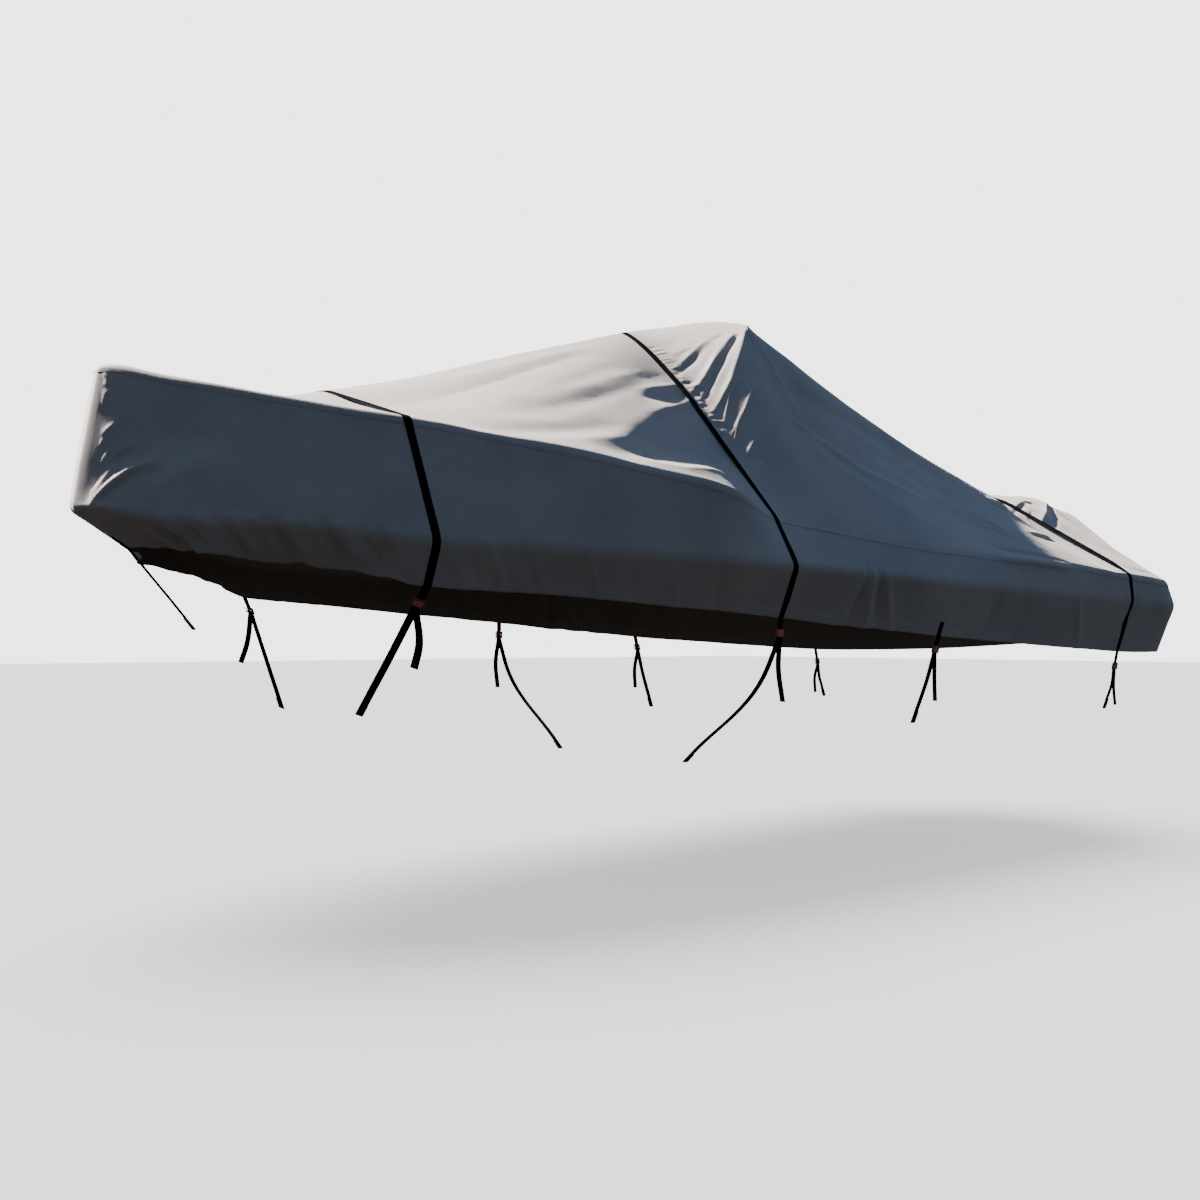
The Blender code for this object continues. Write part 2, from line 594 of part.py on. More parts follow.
def cutter_box(name, low, high, into):
    """A box between two corners, hidden, to be cut or to cut with."""
    shape = bmesh.new()
    bmesh.ops.create_cube(shape, size=1.0)
    low = Vector(low)
    high = Vector(high)
    for vertex in shape.verts:
        vertex.co = Vector(
            low[i] + (high[i] - low[i]) * (vertex.co[i] + 0.5) for i in range(3)
        )
    mesh = bpy.data.meshes.new(name)
    shape.to_mesh(mesh)
    shape.free()
    item = bpy.data.objects.new(name, mesh)
    into.objects.link(item)
    item.hide_render = True
    item.display_type = "WIRE"
    return item


def buckle_mesh(cutters):
    """The one-piece buckle: a slot above for the fixed webbing, and two layers round a bar below."""
    wide = SLOT_WIDTH / 2
    tall = SLOT_HEIGHT / 2
    outside = BUCKLE[1]
    slots = {
        "fixed": ((-wide, -outside, -tall), (wide, -FIXED_END / 2, tall)),
        "back": ((-wide, TURN[0], -LAYER - tall), (wide, outside, -LAYER + tall)),
        "front": ((-wide, TURN[0], LAYER - tall), (wide, outside, LAYER + tall)),
        "turn": ((-wide, TURN[0], -LAYER - tall), (wide, TURN[1], LAYER + tall)),
    }
    half = Vector(BUCKLE) / 2
    body = cutter_box("buckle_body", -half, half, cutters)
    bevel = body.modifiers.new("Soft edges", "BEVEL")
    bevel.width = BUCKLE_ROUND
    bevel.segments = 1
    for name, (low, high) in slots.items():
        cut = body.modifiers.new(name, "BOOLEAN")
        cut.operation = "DIFFERENCE"
        cut.object = cutter_box(f"slot_{name}", low, high, cutters)
    bpy.context.view_layer.update()
    evaluated = body.evaluated_get(bpy.context.evaluated_depsgraph_get())
    return bpy.data.meshes.new_from_object(evaluated)


def place_buckle(name, side_name, side, mesh, into):
    middle, across, down, out = hem_frame(name, side)
    item = bpy.data.objects.new(f"buckle_{PIECE_NAMES[name]}_{side_name}", mesh)
    turn = Matrix((across, down, out)).transposed().to_4x4()
    item.matrix_world = Matrix.Translation(Vector(middle - CROWN)) @ turn
    into.objects.link(item)


def build():
    clear_scene()
    cover = collection("boat_cover")
    cloth = material("grey coated polyester", (0.30, 0.285, 0.28), 0.75)
    rows = slice(0, DECK_ROWS + 1)
    sheet("deck_panel", [
        (seam_gap(PORT[:, rows], False, True), False),
        (seam_gap(STARBOARD[:, rows], False, True), True),
    ], CLOTH, cloth, cover)
    rows = slice(DECK_ROWS, HEM_ROW + 1)
    for name, grid, turned in (("port", PORT, False), ("starboard", STARBOARD, True)):
        side = seam_gap(grid[:CORNER + 1, rows], True, False)
        sheet(f"side_panel_{name}", [(back_from(back_from(side, 0), -1), turned)], CLOTH, cloth, cover)
    sheet("stern_panel", [
        (back_from(seam_gap(PORT[CORNER:, rows], True, False), 0), False),
        (back_from(seam_gap(STARBOARD[CORNER:, rows], True, False), 0), True),
    ], CLOTH, cloth, cover)
    black = material("black webbing", (0.012, 0.012, 0.014), 0.7)
    red = material("red buckle", (0.30, 0.05, 0.05), 0.45)
    cutters = collection("cutters")
    buckle = buckle_mesh(cutters)
    buckle.materials.append(red)
    for name in TIES:
        tie_over(name, black, cover)
    for side_name, side in (("port", 1), ("starboard", -1)):
        hem_tab(side_name, side, black, cover)
        for name in DROPS:
            lower_run(name, side_name, side, black, cover)
            place_buckle(name, side_name, side, buckle, cover)
    bow_strap(black, cover)


build()
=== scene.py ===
import json
import math

import bmesh
import bpy
import numpy as np
from mathutils import Matrix, Vector, noise
from numpy.linalg import norm

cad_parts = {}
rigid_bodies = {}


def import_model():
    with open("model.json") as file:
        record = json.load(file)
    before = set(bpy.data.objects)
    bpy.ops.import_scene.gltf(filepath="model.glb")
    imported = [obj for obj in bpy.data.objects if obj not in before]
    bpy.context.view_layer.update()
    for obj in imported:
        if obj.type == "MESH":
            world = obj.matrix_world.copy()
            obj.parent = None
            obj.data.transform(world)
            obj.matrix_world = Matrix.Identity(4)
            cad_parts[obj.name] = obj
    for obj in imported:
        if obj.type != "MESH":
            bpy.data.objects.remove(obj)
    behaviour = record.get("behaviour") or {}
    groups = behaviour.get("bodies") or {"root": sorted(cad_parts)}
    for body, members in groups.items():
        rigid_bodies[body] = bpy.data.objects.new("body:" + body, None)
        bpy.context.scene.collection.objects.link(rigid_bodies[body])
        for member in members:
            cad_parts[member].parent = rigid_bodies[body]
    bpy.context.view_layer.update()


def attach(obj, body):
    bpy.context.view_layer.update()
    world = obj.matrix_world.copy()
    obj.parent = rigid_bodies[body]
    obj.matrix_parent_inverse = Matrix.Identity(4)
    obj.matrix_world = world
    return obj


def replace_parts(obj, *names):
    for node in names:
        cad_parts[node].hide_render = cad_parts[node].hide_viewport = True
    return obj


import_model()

# ---- Deck panel ----
# The top of the cover: one cut of coated polyester from bow to stern, drawn up to a peak
# and over a hump at the stern. Its edge turns down a few centimetres and is lapped and
# topstitched over the side panels.

# Sections across the port half, bow to stern, in millimetres; x along the cover, z above
# the floor. Each has the spine's x and z, how many thousandths of the way out the top
# breaks (its shoulder), that shoulder's z, and how far the slope below it bellies; then the
# deck's edge, the rub line and the hem.
SECTIONS = {
    "stem": ((3720, 2100, 450, 2104, 0),
        (3950, 0, 2118), (4040, 0, 1600), (3840, 0, 1480)),
    "stem flat": ((3712, 2100, 450, 2104, 0),
        (3950, 22, 2118), (4040, 22, 1600), (3840, 20, 1480)),
    "stem round": ((3695, 2098, 450, 2098, 0),
        (3904, 84, 2113), (3990, 92, 1598), (3822, 65, 1479)),
    "bow quarter": ((3660, 2092, 450, 2080, 0),
        (3850, 150, 2092), (3922, 172, 1583), (3765, 130, 1475)),
    "bow drape": ((3600, 2084, 450, 2056, 0),
        (3760, 252, 2060), (3830, 285, 1552), (3712, 225, 1462)),
    "bow corner": ((3520, 2078, 450, 2040, 0),
        (3630, 368, 2030), (3715, 405, 1548), (3680, 355, 1446)),
    "bow pleat": ((3420, 2074, 450, 2030, -5),
        (3520, 455, 2005), (3620, 485, 1547), (3550, 400, 1430)),
    "bow side": ((3250, 2090, 480, 2015, -10),
        (3300, 605, 1961), (3350, 690, 1524), (3280, 600, 1392)),
    "forward tie": ((3100, 2128, 500, 2026, 0),
        (3120, 712, 1932), (3080, 850, 1490), (3070, 765, 1338)),
    "foredeck": ((2680, 2240, 450, 2085, 12),
        (2640, 922, 1856), (2650, 985, 1477), (2620, 900, 1314)),
    "hollow": ((2230, 2387, 380, 2205, 0),
        (2210, 1018, 1796), (2200, 1070, 1463), (2180, 965, 1284)),
    "edge drop": ((1870, 2500, 380, 2262, -10),
        (1850, 1060, 1737), (1880, 1115, 1455), (1860, 990, 1264)),
    "middle tie": ((1520, 2606, 350, 2340, 6),
        (1545, 985, 1665), (1567, 1130, 1447), (1537, 1012, 1241)),
    "fore slope": ((1250, 2675, 460, 2430, 0),
        (1270, 1020, 1632), (1290, 1143, 1436), (1260, 1030, 1218)),
    "peak": ((985, 2742, 285, 2668, -20),
        (1000, 1050, 1605), (1000, 1150, 1427), (980, 1045, 1200)),
    "behind peak": ((790, 2632, 280, 2576, -20),
        (780, 1065, 1585), (780, 1152, 1420), (770, 1052, 1187)),
    "back slope": ((530, 2510, 280, 2466, -20),
        (530, 1075, 1572), (530, 1152, 1410), (530, 1060, 1168)),
    "back middle": ((0, 2308, 275, 2273, -28),
        (0, 1090, 1552), (0, 1150, 1392), (0, 1062, 1140)),
    "back foot": ((-500, 2157, 270, 2123, -20),
        (-500, 1110, 1540), (-500, 1150, 1376), (-500, 1062, 1114)),
    "aft tie": ((-1070, 2028, 260, 1978, -4),
        (-1070, 1132, 1500), (-1070, 1150, 1360), (-1070, 1058, 1088)),
    "hump front": ((-1270, 2042, 220, 2012, 0),
        (-1290, 1128, 1490), (-1290, 1146, 1350), (-1280, 1055, 1084)),
    "quarter": ((-1440, 2050, 220, 2010, 8),
        (-1490, 1112, 1480), (-1500, 1140, 1343), (-1475, 1052, 1083)),
    "stern corner": ((-1540, 2052, 200, 2025, 10),
        (-1600, 1060, 1487), (-1620, 1105, 1340), (-1580, 1020, 1083)),
    "stern wing": ((-1600, 2052, 220, 2034, 5),
        (-1665, 925, 1545), (-1690, 965, 1336), (-1640, 900, 1085)),
    "stern half": ((-1660, 2052, 270, 2034, -10),
        (-1765, 680, 1690), (-1790, 715, 1336), (-1740, 675, 1090)),
    "stern inner": ((-1710, 2050, 360, 2030, 0),
        (-1900, 440, 1840), (-1935, 460, 1342), (-1885, 440, 1102)),
    "hump side": ((-1750, 2046, 450, 2026, 0),
        (-2010, 245, 1955), (-2060, 255, 1352), (-2010, 245, 1116)),
    "hump back": ((-1775, 2044, 450, 2030, 0),
        (-2062, 95, 2000), (-2118, 100, 1360), (-2066, 95, 1126)),
    "back flat": ((-1787, 2043, 450, 2030, 0),
        (-2068, 24, 2006), (-2124, 24, 1361), (-2072, 22, 1128)),
    "back centre": ((-1795, 2042, 450, 2030, 0),
        (-2068, 0, 2006), (-2124, 0, 1361), (-2072, 0, 1128)),
}
# The underside of the highest point, in metres like all that isn't said to be millimetres
CROWN = np.array((0.970, 0.0, 2.740))


def run_along(path):
    """How far along a line of points each of them lies."""
    return np.concatenate([[0.0], np.cumsum(norm(np.diff(path, axis=0), axis=1))])


NAMES = list(SECTIONS)
TABLE = np.array([sum(row, ()) for row in SECTIONS.values()]) / 1000
KNOTS = run_along(TABLE[:, 8:11])
PLACE = dict(zip(NAMES, KNOTS))

# The peak and the hump are held up on hard corners: how sharply the cloth breaks over each,
# and how far along the cover that is felt. Round the middle tie the spine is a sharp ridge.
HARD_CORNERS = {"peak": (0.85, 0.16), "quarter": (0.5, 0.10)}
RIDGE_HARDNESS, RIDGE_REACH = 0.6, 1.5

# How far apart the lines of the mesh stand, from each named section on towards the stern
DECK_SPACING = {
    "stem": 0.012, "bow quarter": 0.014, "forward tie": 0.010, "hollow": 0.008,
    "edge drop": 0.005, "middle tie": 0.004, "fore slope": 0.0045, "peak": 0.006,
    "behind peak": 0.010, "back foot": 0.006, "aft tie": 0.0045, "stern corner": 0.009,
}
TOP_ROWS, BEND_ROWS, SIDE_ROWS, SKIRT_ROWS = 280, 6, 44, 40
FINE_STEPS = np.linspace(0, 1, 201)
# How round the two bends are, and the most they take of the cloth above and below them
EDGE_ROUND, EDGE_OF_TOP, EDGE_OF_SIDE = 0.020, 0.40, 0.22
RUB_ROUND, RUB_OF_SIDE, RUB_OF_SKIRT = 0.028, 0.25, 0.30
# How far the deck laps over the sides, and the heights above the hem where its turn shows
LAP, HEM_STEPS = 0.012, (0.030, 0.0265, 0.003)


def cubic(t, start, leave, end, arrive):
    """Between a start and an end, leaving and arriving in the directions given."""
    return (
        (2 * t**3 - 3 * t**2 + 1) * start + (t**3 - 2 * t**2 + t) * leave
        + (3 * t**2 - 2 * t**3) * end + (t**3 - t**2) * arrive
    )


def section_at(place):
    """The table's values at any place along the rub line, on one smooth curve a column."""
    i = int(np.clip(np.searchsorted(KNOTS, place, side="right") - 1, 0, len(KNOTS) - 2))
    low, high = max(i - 1, 0), min(i + 2, len(KNOTS) - 1)
    span = KNOTS[i + 1] - KNOTS[i]
    secant = (TABLE[i + 1] - TABLE[i]) / span
    leave = (TABLE[i + 1] - TABLE[low]) / (KNOTS[i + 1] - KNOTS[low])
    arrive = (TABLE[high] - TABLE[i]) / (KNOTS[high] - KNOTS[i])
    hard_leave = HARD_CORNERS.get(NAMES[i], (0, 0))[0]
    hard_arrive = HARD_CORNERS.get(NAMES[i + 1], (0, 0))[0]
    for column in (1, 3):
        leave[column] += (secant[column] - leave[column]) * hard_leave
        arrive[column] += (secant[column] - arrive[column]) * hard_arrive
    return cubic((place - KNOTS[i]) / span, TABLE[i], span * leave, TABLE[i + 1], span * arrive)


def heading(before, at, after, hardness=0.0, onward=True):
    """The direction of a smooth line through its middle point, or nearer the straight run."""
    back, ahead = norm(at - before), norm(after - at)
    smooth = ((at - before) / back * ahead + (after - at) / ahead * back) / (back + ahead)
    straight = (after - at) / ahead if onward else (at - before) / back
    return smooth + (straight - smooth) * hardness


def curve_through(a, b, before, after, shares, hard_start=0.0, hard_end=0.0):
    """Points of a smooth curve from a to b, given its neighbours before and after."""
    length = norm(b - a)
    leave = heading(before, a, b, hard_start, True) * length
    arrive = heading(a, b, after, hard_end, False) * length
    return cubic(np.asarray(shares)[:, None], a, leave, b, arrive)


def towards(a, b, distance):
    return a + (b - a) / norm(b - a) * distance


def bend(inner, corner, outer):
    """The rows of a rounded corner."""
    t = np.linspace(0, 1, BEND_ROWS + 1)[:, None]
    return (1 - t) ** 2 * inner + 2 * t * (1 - t) * corner + t**2 * outer


def half_line(place):
    """The port half's line across the cloth, spine to hem, before its folds."""
    s = section_at(place)
    spine = np.array((s[0], 0.0, s[1]))
    edge, rub, hem = s[5:8], s[8:11], s[11:14]
    shoulder = spine + (edge - spine) * s[2]
    shoulder[2] = s[3]
    mid = (shoulder + edge) / 2
    mid[2] += s[4]
    mirror = np.array((2 * spine[0] - shoulder[0], -shoulder[1], shoulder[2]))
    hard = sum(h * math.exp(-(((place - PLACE[n]) / w) ** 2)) for n, (h, w) in HARD_CORNERS.items())
    side, lower = norm(rub - edge), norm(edge - mid)
    turn = min(EDGE_ROUND, EDGE_OF_SIDE * side, EDGE_OF_TOP * lower)
    tuck = min(RUB_ROUND, RUB_OF_SIDE * side, RUB_OF_SKIRT * norm(hem - rub))
    below, above, under = towards(edge, rub, turn), towards(rub, edge, tuck), towards(rub, hem, tuck)
    seam = towards(edge, rub, turn + LAP)
    down = np.linspace(0, 1, SIDE_ROWS + 1)[1:-1, None]
    skirt = np.linspace(0, 1, SKIRT_ROWS - len(HEM_STEPS) + 1)[1:, None]
    hem_top = towards(hem, under, HEM_STEPS[0])
    ridge = RIDGE_HARDNESS * math.exp(-(((place - PLACE["middle tie"]) / RIDGE_REACH) ** 4))
    curved = np.concatenate([
        curve_through(spine, shoulder, mirror, mid, FINE_STEPS[:-1], ridge, hard),
        curve_through(shoulder, mid, spine, edge, FINE_STEPS[:-1], hard, 0.0),
        curve_through(mid, edge, shoulder, 2 * edge - mid, FINE_STEPS * (1 - turn / lower)),
    ])
    run = run_along(curved)
    rows = np.linspace(0, run[-1], TOP_ROWS + 1)
    top = np.stack([np.interp(rows, run, values) for values in curved.T], axis=1)
    return np.concatenate([
        top[:-1],
        bend(top[-1], edge, below),
        [seam],
        seam + (above - seam) * down,
        bend(above, rub, under),
        under + (hem_top - under) * skirt,
        [towards(hem, under, step) for step in HEM_STEPS[1:]],
        [hem],
    ])


FOLD_ROW = TOP_ROWS + BEND_ROWS
SEAM_ROW = FOLD_ROW + 1
RUB_ROW = SEAM_ROW + SIDE_ROWS + BEND_ROWS // 2
HEM_ROW = len(half_line(0.0)) - 1


def places(spacing):
    """Where the mesh lines stand: every section, and evenly between them."""
    found, step = [], spacing[NAMES[0]]
    for i, name in enumerate(NAMES[:-1]):
        step = spacing.get(name, step)
        count = max(1, round((KNOTS[i + 1] - KNOTS[i]) / step))
        found += list(KNOTS[i] + (KNOTS[i + 1] - KNOTS[i]) * np.arange(count) / count)
    return np.array(found + [KNOTS[-1]])


def outward(port, starboard):
    """Unit normals of both halves, taken across the spine, the stem and the back's middle."""
    whole = np.concatenate([starboard[:, :0:-1], port], axis=1)
    wrapped = np.concatenate([whole[1:2, ::-1], whole, whole[-2:-1, ::-1]])
    normals = np.cross(np.gradient(whole, axis=1), wrapped[2:] - wrapped[:-2])
    normals /= norm(normals, axis=2)[:, :, None] + 1e-12
    middle = port.shape[1] - 1
    return normals[:, middle:], normals[:, middle::-1]


# Creases of the deck's port side, in millimetres: the line each runs along, its width at
# both ends, how far it stands out (a trough is negative), and how crisp its crest is (2 is
# round, 1 is sharp).
DECK_CREASES = {
    "shoulder fold": (((1270, 290, 2550), (1420, 310, 2440), (1490, 310, 2390)), 14, 18, 6, 1.6),
    "upper finger's foot": (((1150, 280, 2600), (1380, 340, 2440), (1490, 340, 2360)), 13, 18, -8, 1.7),
    "upper finger": (
        ((1090, 300, 2610), (1330, 410, 2430), (1410, 430, 2340), (1490, 440, 2270)),
        15, 18, 11, 1.6),
    "long finger's foot": (
        ((1090, 330, 2600), (1300, 440, 2430), (1380, 460, 2340), (1470, 500, 2220)),
        12, 16, -11, 1.7),
    "long finger": (
        ((1030, 320, 2630), (1240, 470, 2430), (1330, 520, 2320), (1420, 540, 2210), (1480, 550, 2150)),
        16, 18, 12, 1.6),
    "finger branch": (((1290, 540, 2330), (1370, 550, 2240), (1470, 610, 2080)), 8, 10, 6, 1.5),
    "spike": (((1010, 320, 2640), (1050, 420, 2510)), 10, 10, 10, 1.5),
    "thin fold": (((1240, 580, 2310), (1340, 620, 2180), (1460, 650, 2040)), 8, 10, 6, 1.5),
    "thin fold's fork": (((1390, 630, 2110), (1470, 680, 2010)), 6, 7, 4, 1.5),
    "low thin fold": (((1380, 710, 2020), (1460, 740, 1940)), 9, 10, 5, 1.5),
    "small fold": (((1420, 470, 2300), (1490, 480, 2220)), 8, 9, 4, 1.5),
    "crown light streak": (((1340, 270, 2520), (1460, 250, 2470)), 16, 20, 4, 1.6),
    "crown streak aft": (((1200, 180, 2630), (1470, 200, 2520)), 26, 34, -3, 1.8),
    "fore soft trough": (((1540, 320, 2360), (1730, 350, 2310)), 16, 30, -2, 1.8),
    "fore lit ridge": (((1540, 380, 2300), (1800, 440, 2240)), 20, 34, 8, 1.6),
    "fore pocket": (((1520, 450, 2250), (1820, 500, 2190)), 20, 30, -8, 1.8),
    "fore low ridge": (((1540, 470, 2210), (1860, 600, 2100)), 18, 38, 10, 1.6),
    "hollow": (((1560, 720, 1950), (1880, 830, 1920), (2280, 900, 1870)), 120, 100, -34, 2.0),
    "hollow rim": (((1780, 560, 2140), (2090, 700, 2000), (2260, 800, 1930)), 50, 70, 7, 1.8),
    "tongue upper": (((2240, 940, 1860), (2030, 980, 1820), (1740, 900, 1840)), 40, 18, 9, 1.5),
    "tongue lower": (((2120, 1030, 1770), (1800, 1060, 1730)), 18, 12, 5, 1.5),
    "first long trough": (((1780, 420, 2270), (2120, 510, 2150), (2600, 620, 2000)), 34, 65, -8, 1.9),
    "first long ridge": (((1690, 310, 2360), (1990, 400, 2260), (2400, 490, 2110)), 34, 70, 7, 1.7),
    "second long trough": (((2130, 690, 2010), (2480, 760, 1950), (2910, 800, 1900)), 50, 75, -12, 1.9),
    "second long ridge": (((1860, 240, 2390), (2430, 420, 2140), (2950, 590, 1970)), 36, 80, 6, 1.8),
    "upper streak": (((1900, 140, 2420), (2500, 270, 2190), (2980, 380, 2040)), 30, 50, -8, 1.8),
    "crown streak": (((1750, 80, 2490), (2350, 140, 2290), (2900, 200, 2140)), 26, 45, 4, 1.6),
    "low streak": (((2160, 780, 1940), (2620, 860, 1870)), 26, 45, 4, 1.7),
    "back ridge": (((950, 620, 2220), (-150, 800, 1770)), 45, 60, 10, 1.7),
    "back trough": (((880, 540, 2310), (260, 520, 2160), (-390, 550, 1950)), 50, 80, -10, 2.0),
    "back upper ridge": (((880, 400, 2440), (200, 420, 2220), (-400, 460, 2020)), 30, 50, 10, 1.5),
    "back edge ridge": (((900, 280, 2580), (500, 300, 2440), (50, 290, 2280)), 18, 30, 8, 1.4),
    "back streak": (((1060, 640, 2160), (720, 760, 1940), (170, 810, 1790)), 20, 36, 9, 1.5),
    "back low streak": (((1000, 760, 2000), (600, 900, 1750)), 24, 40, 7, 1.5),
    "first thin crease": (
        ((-120, 700, 1860), (-210, 810, 1760), (-330, 890, 1690), (-460, 1000, 1610)),
        7, 11, 6, 1.5),
    "second thin crease": (
        ((-20, 850, 1740), (-210, 890, 1700), (-330, 950, 1650), (-440, 1010, 1610)),
        7, 12, 5, 1.5),
    "third thin crease": (((-390, 830, 1730), (-450, 900, 1680), (-520, 960, 1640)), 7, 10, 5, 1.5),
    "left crest": (((-600, 550, 1930), (-800, 510, 1920), (-950, 500, 1900)), 14, 16, 6, 1.6),
    "left trough": (((-580, 580, 1910), (-710, 580, 1880), (-880, 550, 1870)), 14, 16, -8, 1.7),
    "dip before the tie": (((-975, 160, 2030), (-975, 660, 1780), (-970, 1040, 1540)), 75, 75, -30, 2.0),
    "dip crease": (((-460, 480, 1970), (-620, 640, 1830), (-740, 840, 1670)), 12, 18, 6, 1.6),
    "dip trough": (((-360, 550, 1930), (-500, 700, 1800), (-580, 800, 1710)), 14, 20, -6, 1.8),
    "shelf": (((90, 1090, 1540), (-200, 1100, 1530), (-500, 1120, 1510)), 26, 14, 13, 1.6),
    "shelf's foot": (((20, 1040, 1590), (-270, 1060, 1580), (-520, 1100, 1540)), 24, 12, -11, 1.6),
    "fold under the tie": (((-600, 850, 1700), (-710, 850, 1690), (-880, 820, 1690)), 14, 14, -9, 1.6),
    "rim over it": (((-570, 820, 1720), (-740, 800, 1720), (-970, 760, 1720)), 14, 14, 7, 1.6),
    "pull at the tie": (((-1100, 480, 1890), (-1000, 610, 1820), (-1050, 680, 1760)), 12, 14, 4, 1.5),
    "hump crest": (((-1630, 300, 1990), (-1410, 430, 1910), (-1110, 580, 1820)), 14, 20, 12, 1.5),
    "hump trough": (((-1630, 330, 1980), (-1470, 460, 1890), (-1190, 610, 1800)), 13, 18, -10, 1.6),
    "hump streak crest": (((-1510, 280, 2000), (-1320, 330, 1970), (-1120, 410, 1930)), 14, 18, 8, 1.5),
    "hump streak": (((-1420, 330, 1970), (-1210, 400, 1930), (-920, 530, 1880)), 14, 20, -8, 1.6),
    "inner hump trough": (((-1230, 450, 1900), (-1010, 580, 1840)), 10, 12, -4, 1.6),
    "thin hump trough": (((-1600, 360, 1950), (-1280, 580, 1820), (-1110, 680, 1760)), 8, 10, -5, 1.5),
    "hump wing": (((-1740, 300, 1970), (-1600, 720, 1680)), 50, 70, 4, 1.8),
    "stern pull": (((-1300, 720, 1700), (-1560, 960, 1530)), 50, 50, -3, 1.8),
    "edge pull": (((-1180, 1030, 1540), (-1320, 1060, 1520), (-1440, 1050, 1510)), 18, 24, -4, 1.6),
}
# How far into its swell a crease starts, how full it is between, and its reach in widths
FOLD_END, FOLD_FULL, CREASE_REACH = 0.10, 0.8, 3.5


def in_metres(creases):
    """A table's creases, from millimetres to metres."""
    return [
        (np.array(line) / 1000, start / 1000, end / 1000, height / 1000, crisp)
        for line, start, end, height, crisp in creases.values()
    ]


def crease_lift(points, creases):
    """How far a set of creases lifts each point of the cloth along its normal."""
    lift = np.zeros(points.shape[:-1])
    for line, from_width, to_width, height, crisp in creases:
        line = np.array(line)
        margin = CREASE_REACH * max(from_width, to_width)
        inside = (points > line.min(axis=0) - margin) & (points < line.max(axis=0) + margin)
        beside = np.all(inside, axis=-1)
        close = points[beside]
        spans = norm(np.diff(line, axis=0), axis=1)
        total, done = spans.sum(), 0.0
        nearest = np.full(len(close), np.inf)
        share = np.zeros(len(close))
        for a, b, span in zip(line, line[1:], spans):
            t = np.clip(((close - a) @ (b - a)) / span**2, 0, 1)
            off = norm(close - a - t[:, None] * (b - a), axis=1)
            share = np.where(off < nearest, (done + t * span) / total, share)
            nearest = np.minimum(nearest, off)
            done += span
        width = from_width + (to_width - from_width) * share
        swell = np.sin(math.pi * (FOLD_END + (1 - 2 * FOLD_END) * share)) ** FOLD_FULL
        lift[beside] += height * np.exp(-((nearest / width) ** crisp)) * swell
    return lift


# Where the webbing is pulled over the cloth it gathers small puckers along its after edge:
# which tie and which stretch of it, how far aft they point, how they slant in rows of the
# mesh, where they start and end, their heights, how many stand up, and their shape
PUCKER_TIE, PUCKER_COUNT, PUCKERED, PUCKER_RUN = "middle tie", 26, (0.14, 0.62), 0.10
PUCKER_START, PUCKER_END = (-2.0, 2.0), (3.0, 10.0)
PUCKER_NEAR, PUCKER_FAR = (0.18, 0.24), (0.45, 0.85)
PUCKER_HEIGHT, PUCKERS_UP, PUCKER_SHAPE = (0.003, 0.006), 0.65, (0.008, 0.012, 1.5)
chance = np.random.default_rng(11)


def puckers():
    """A fresh set of small puckers, drawn by chance."""
    line = half_line(PLACE[PUCKER_TIE])
    aft = half_line(PLACE[PUCKER_TIE] + PUCKER_RUN)
    narrow, wide, crisp = PUCKER_SHAPE
    found = []
    for share in np.linspace(*PUCKERED, PUCKER_COUNT):
        row = share * TOP_ROWS
        start, end = row + chance.uniform(*PUCKER_START), row + chance.uniform(*PUCKER_END)
        a = line[int(start)] + (line[int(start) + 1] - line[int(start)]) * (start % 1)
        b = aft[int(end)] + (aft[int(end) + 1] - aft[int(end)]) * (end % 1)
        near = a + (b - a) * chance.uniform(*PUCKER_NEAR)
        far = a + (b - a) * chance.uniform(*PUCKER_FAR)
        height = chance.uniform(*PUCKER_HEIGHT) * (1 if chance.uniform() < PUCKERS_UP else -1)
        found.append(((near, far), narrow, wide, height, crisp))
    return found


# No cloth is without low, broad waves: their size, their height and their seed's shift
WAVES, SIDE_SEEDS = ((0.33, 0.005, 0), (0.10, 0.0016, 5)), (3.1, 7.7)


def unevenness(points, size, height, seed):
    flat = points.reshape(-1, 3) / size + seed
    waves = np.array([noise.noise(Vector(p)) for p in flat])
    return waves.reshape(points.shape[:-1]) * height


# Webbing pulls the cloth in along its ties, so the creases lie flatter under it
TIES = {"forward tie": 0.55, "middle tie": 0.55, "aft tie": 0.0}
TIE_REACH = 0.026
TWIN_LAG, TWIN_SHARE = 0.05, 0.8


def hang(lines, creases_port, creases_starboard, first_row, last_row):
    """Both halves of a stretch of cloth with their creases, each a grid of points."""
    plain = np.array([half_line(place) for place in lines])
    normals = outward(plain, plain * (1, -1, 1))
    rows = slice(first_row, last_row + 1)
    flat = plain[:, rows]
    lifts = []
    for creases, seed in zip((creases_port, creases_starboard), SIDE_SEEDS):
        lift = crease_lift(flat, creases)
        lift += sum(unevenness(flat, size, height, seed + shift) for size, height, shift in WAVES)
        for name, press in TIES.items():
            away = np.exp(-(((lines - PLACE[name]) / TIE_REACH) ** 2))
            lift *= 1 - press * away[:, None]
        lifts.append(lift)
    if first_row == 0:
        lifts[0][:, 0] = lifts[1][:, 0] = (lifts[0][:, 0] + lifts[1][:, 0]) / 2
    for end in (0, -1):
        lifts[0][end] = lifts[1][end] = (lifts[0][end] + lifts[1][end]) / 2
    return [
        flat * (1, side, 1) + normal[:, rows] * lift[..., None]
        for side, lift, normal in zip((1, -1), lifts, normals)
    ]


def twins(creases):
    """The starboard side's creases: like the port ones, lower and a little further aft."""
    return [
        ([np.array(p) - (TWIN_LAG, 0, 0) for p in line], a, b, height * TWIN_SHARE, crisp)
        for line, a, b, height, crisp in creases
    ]


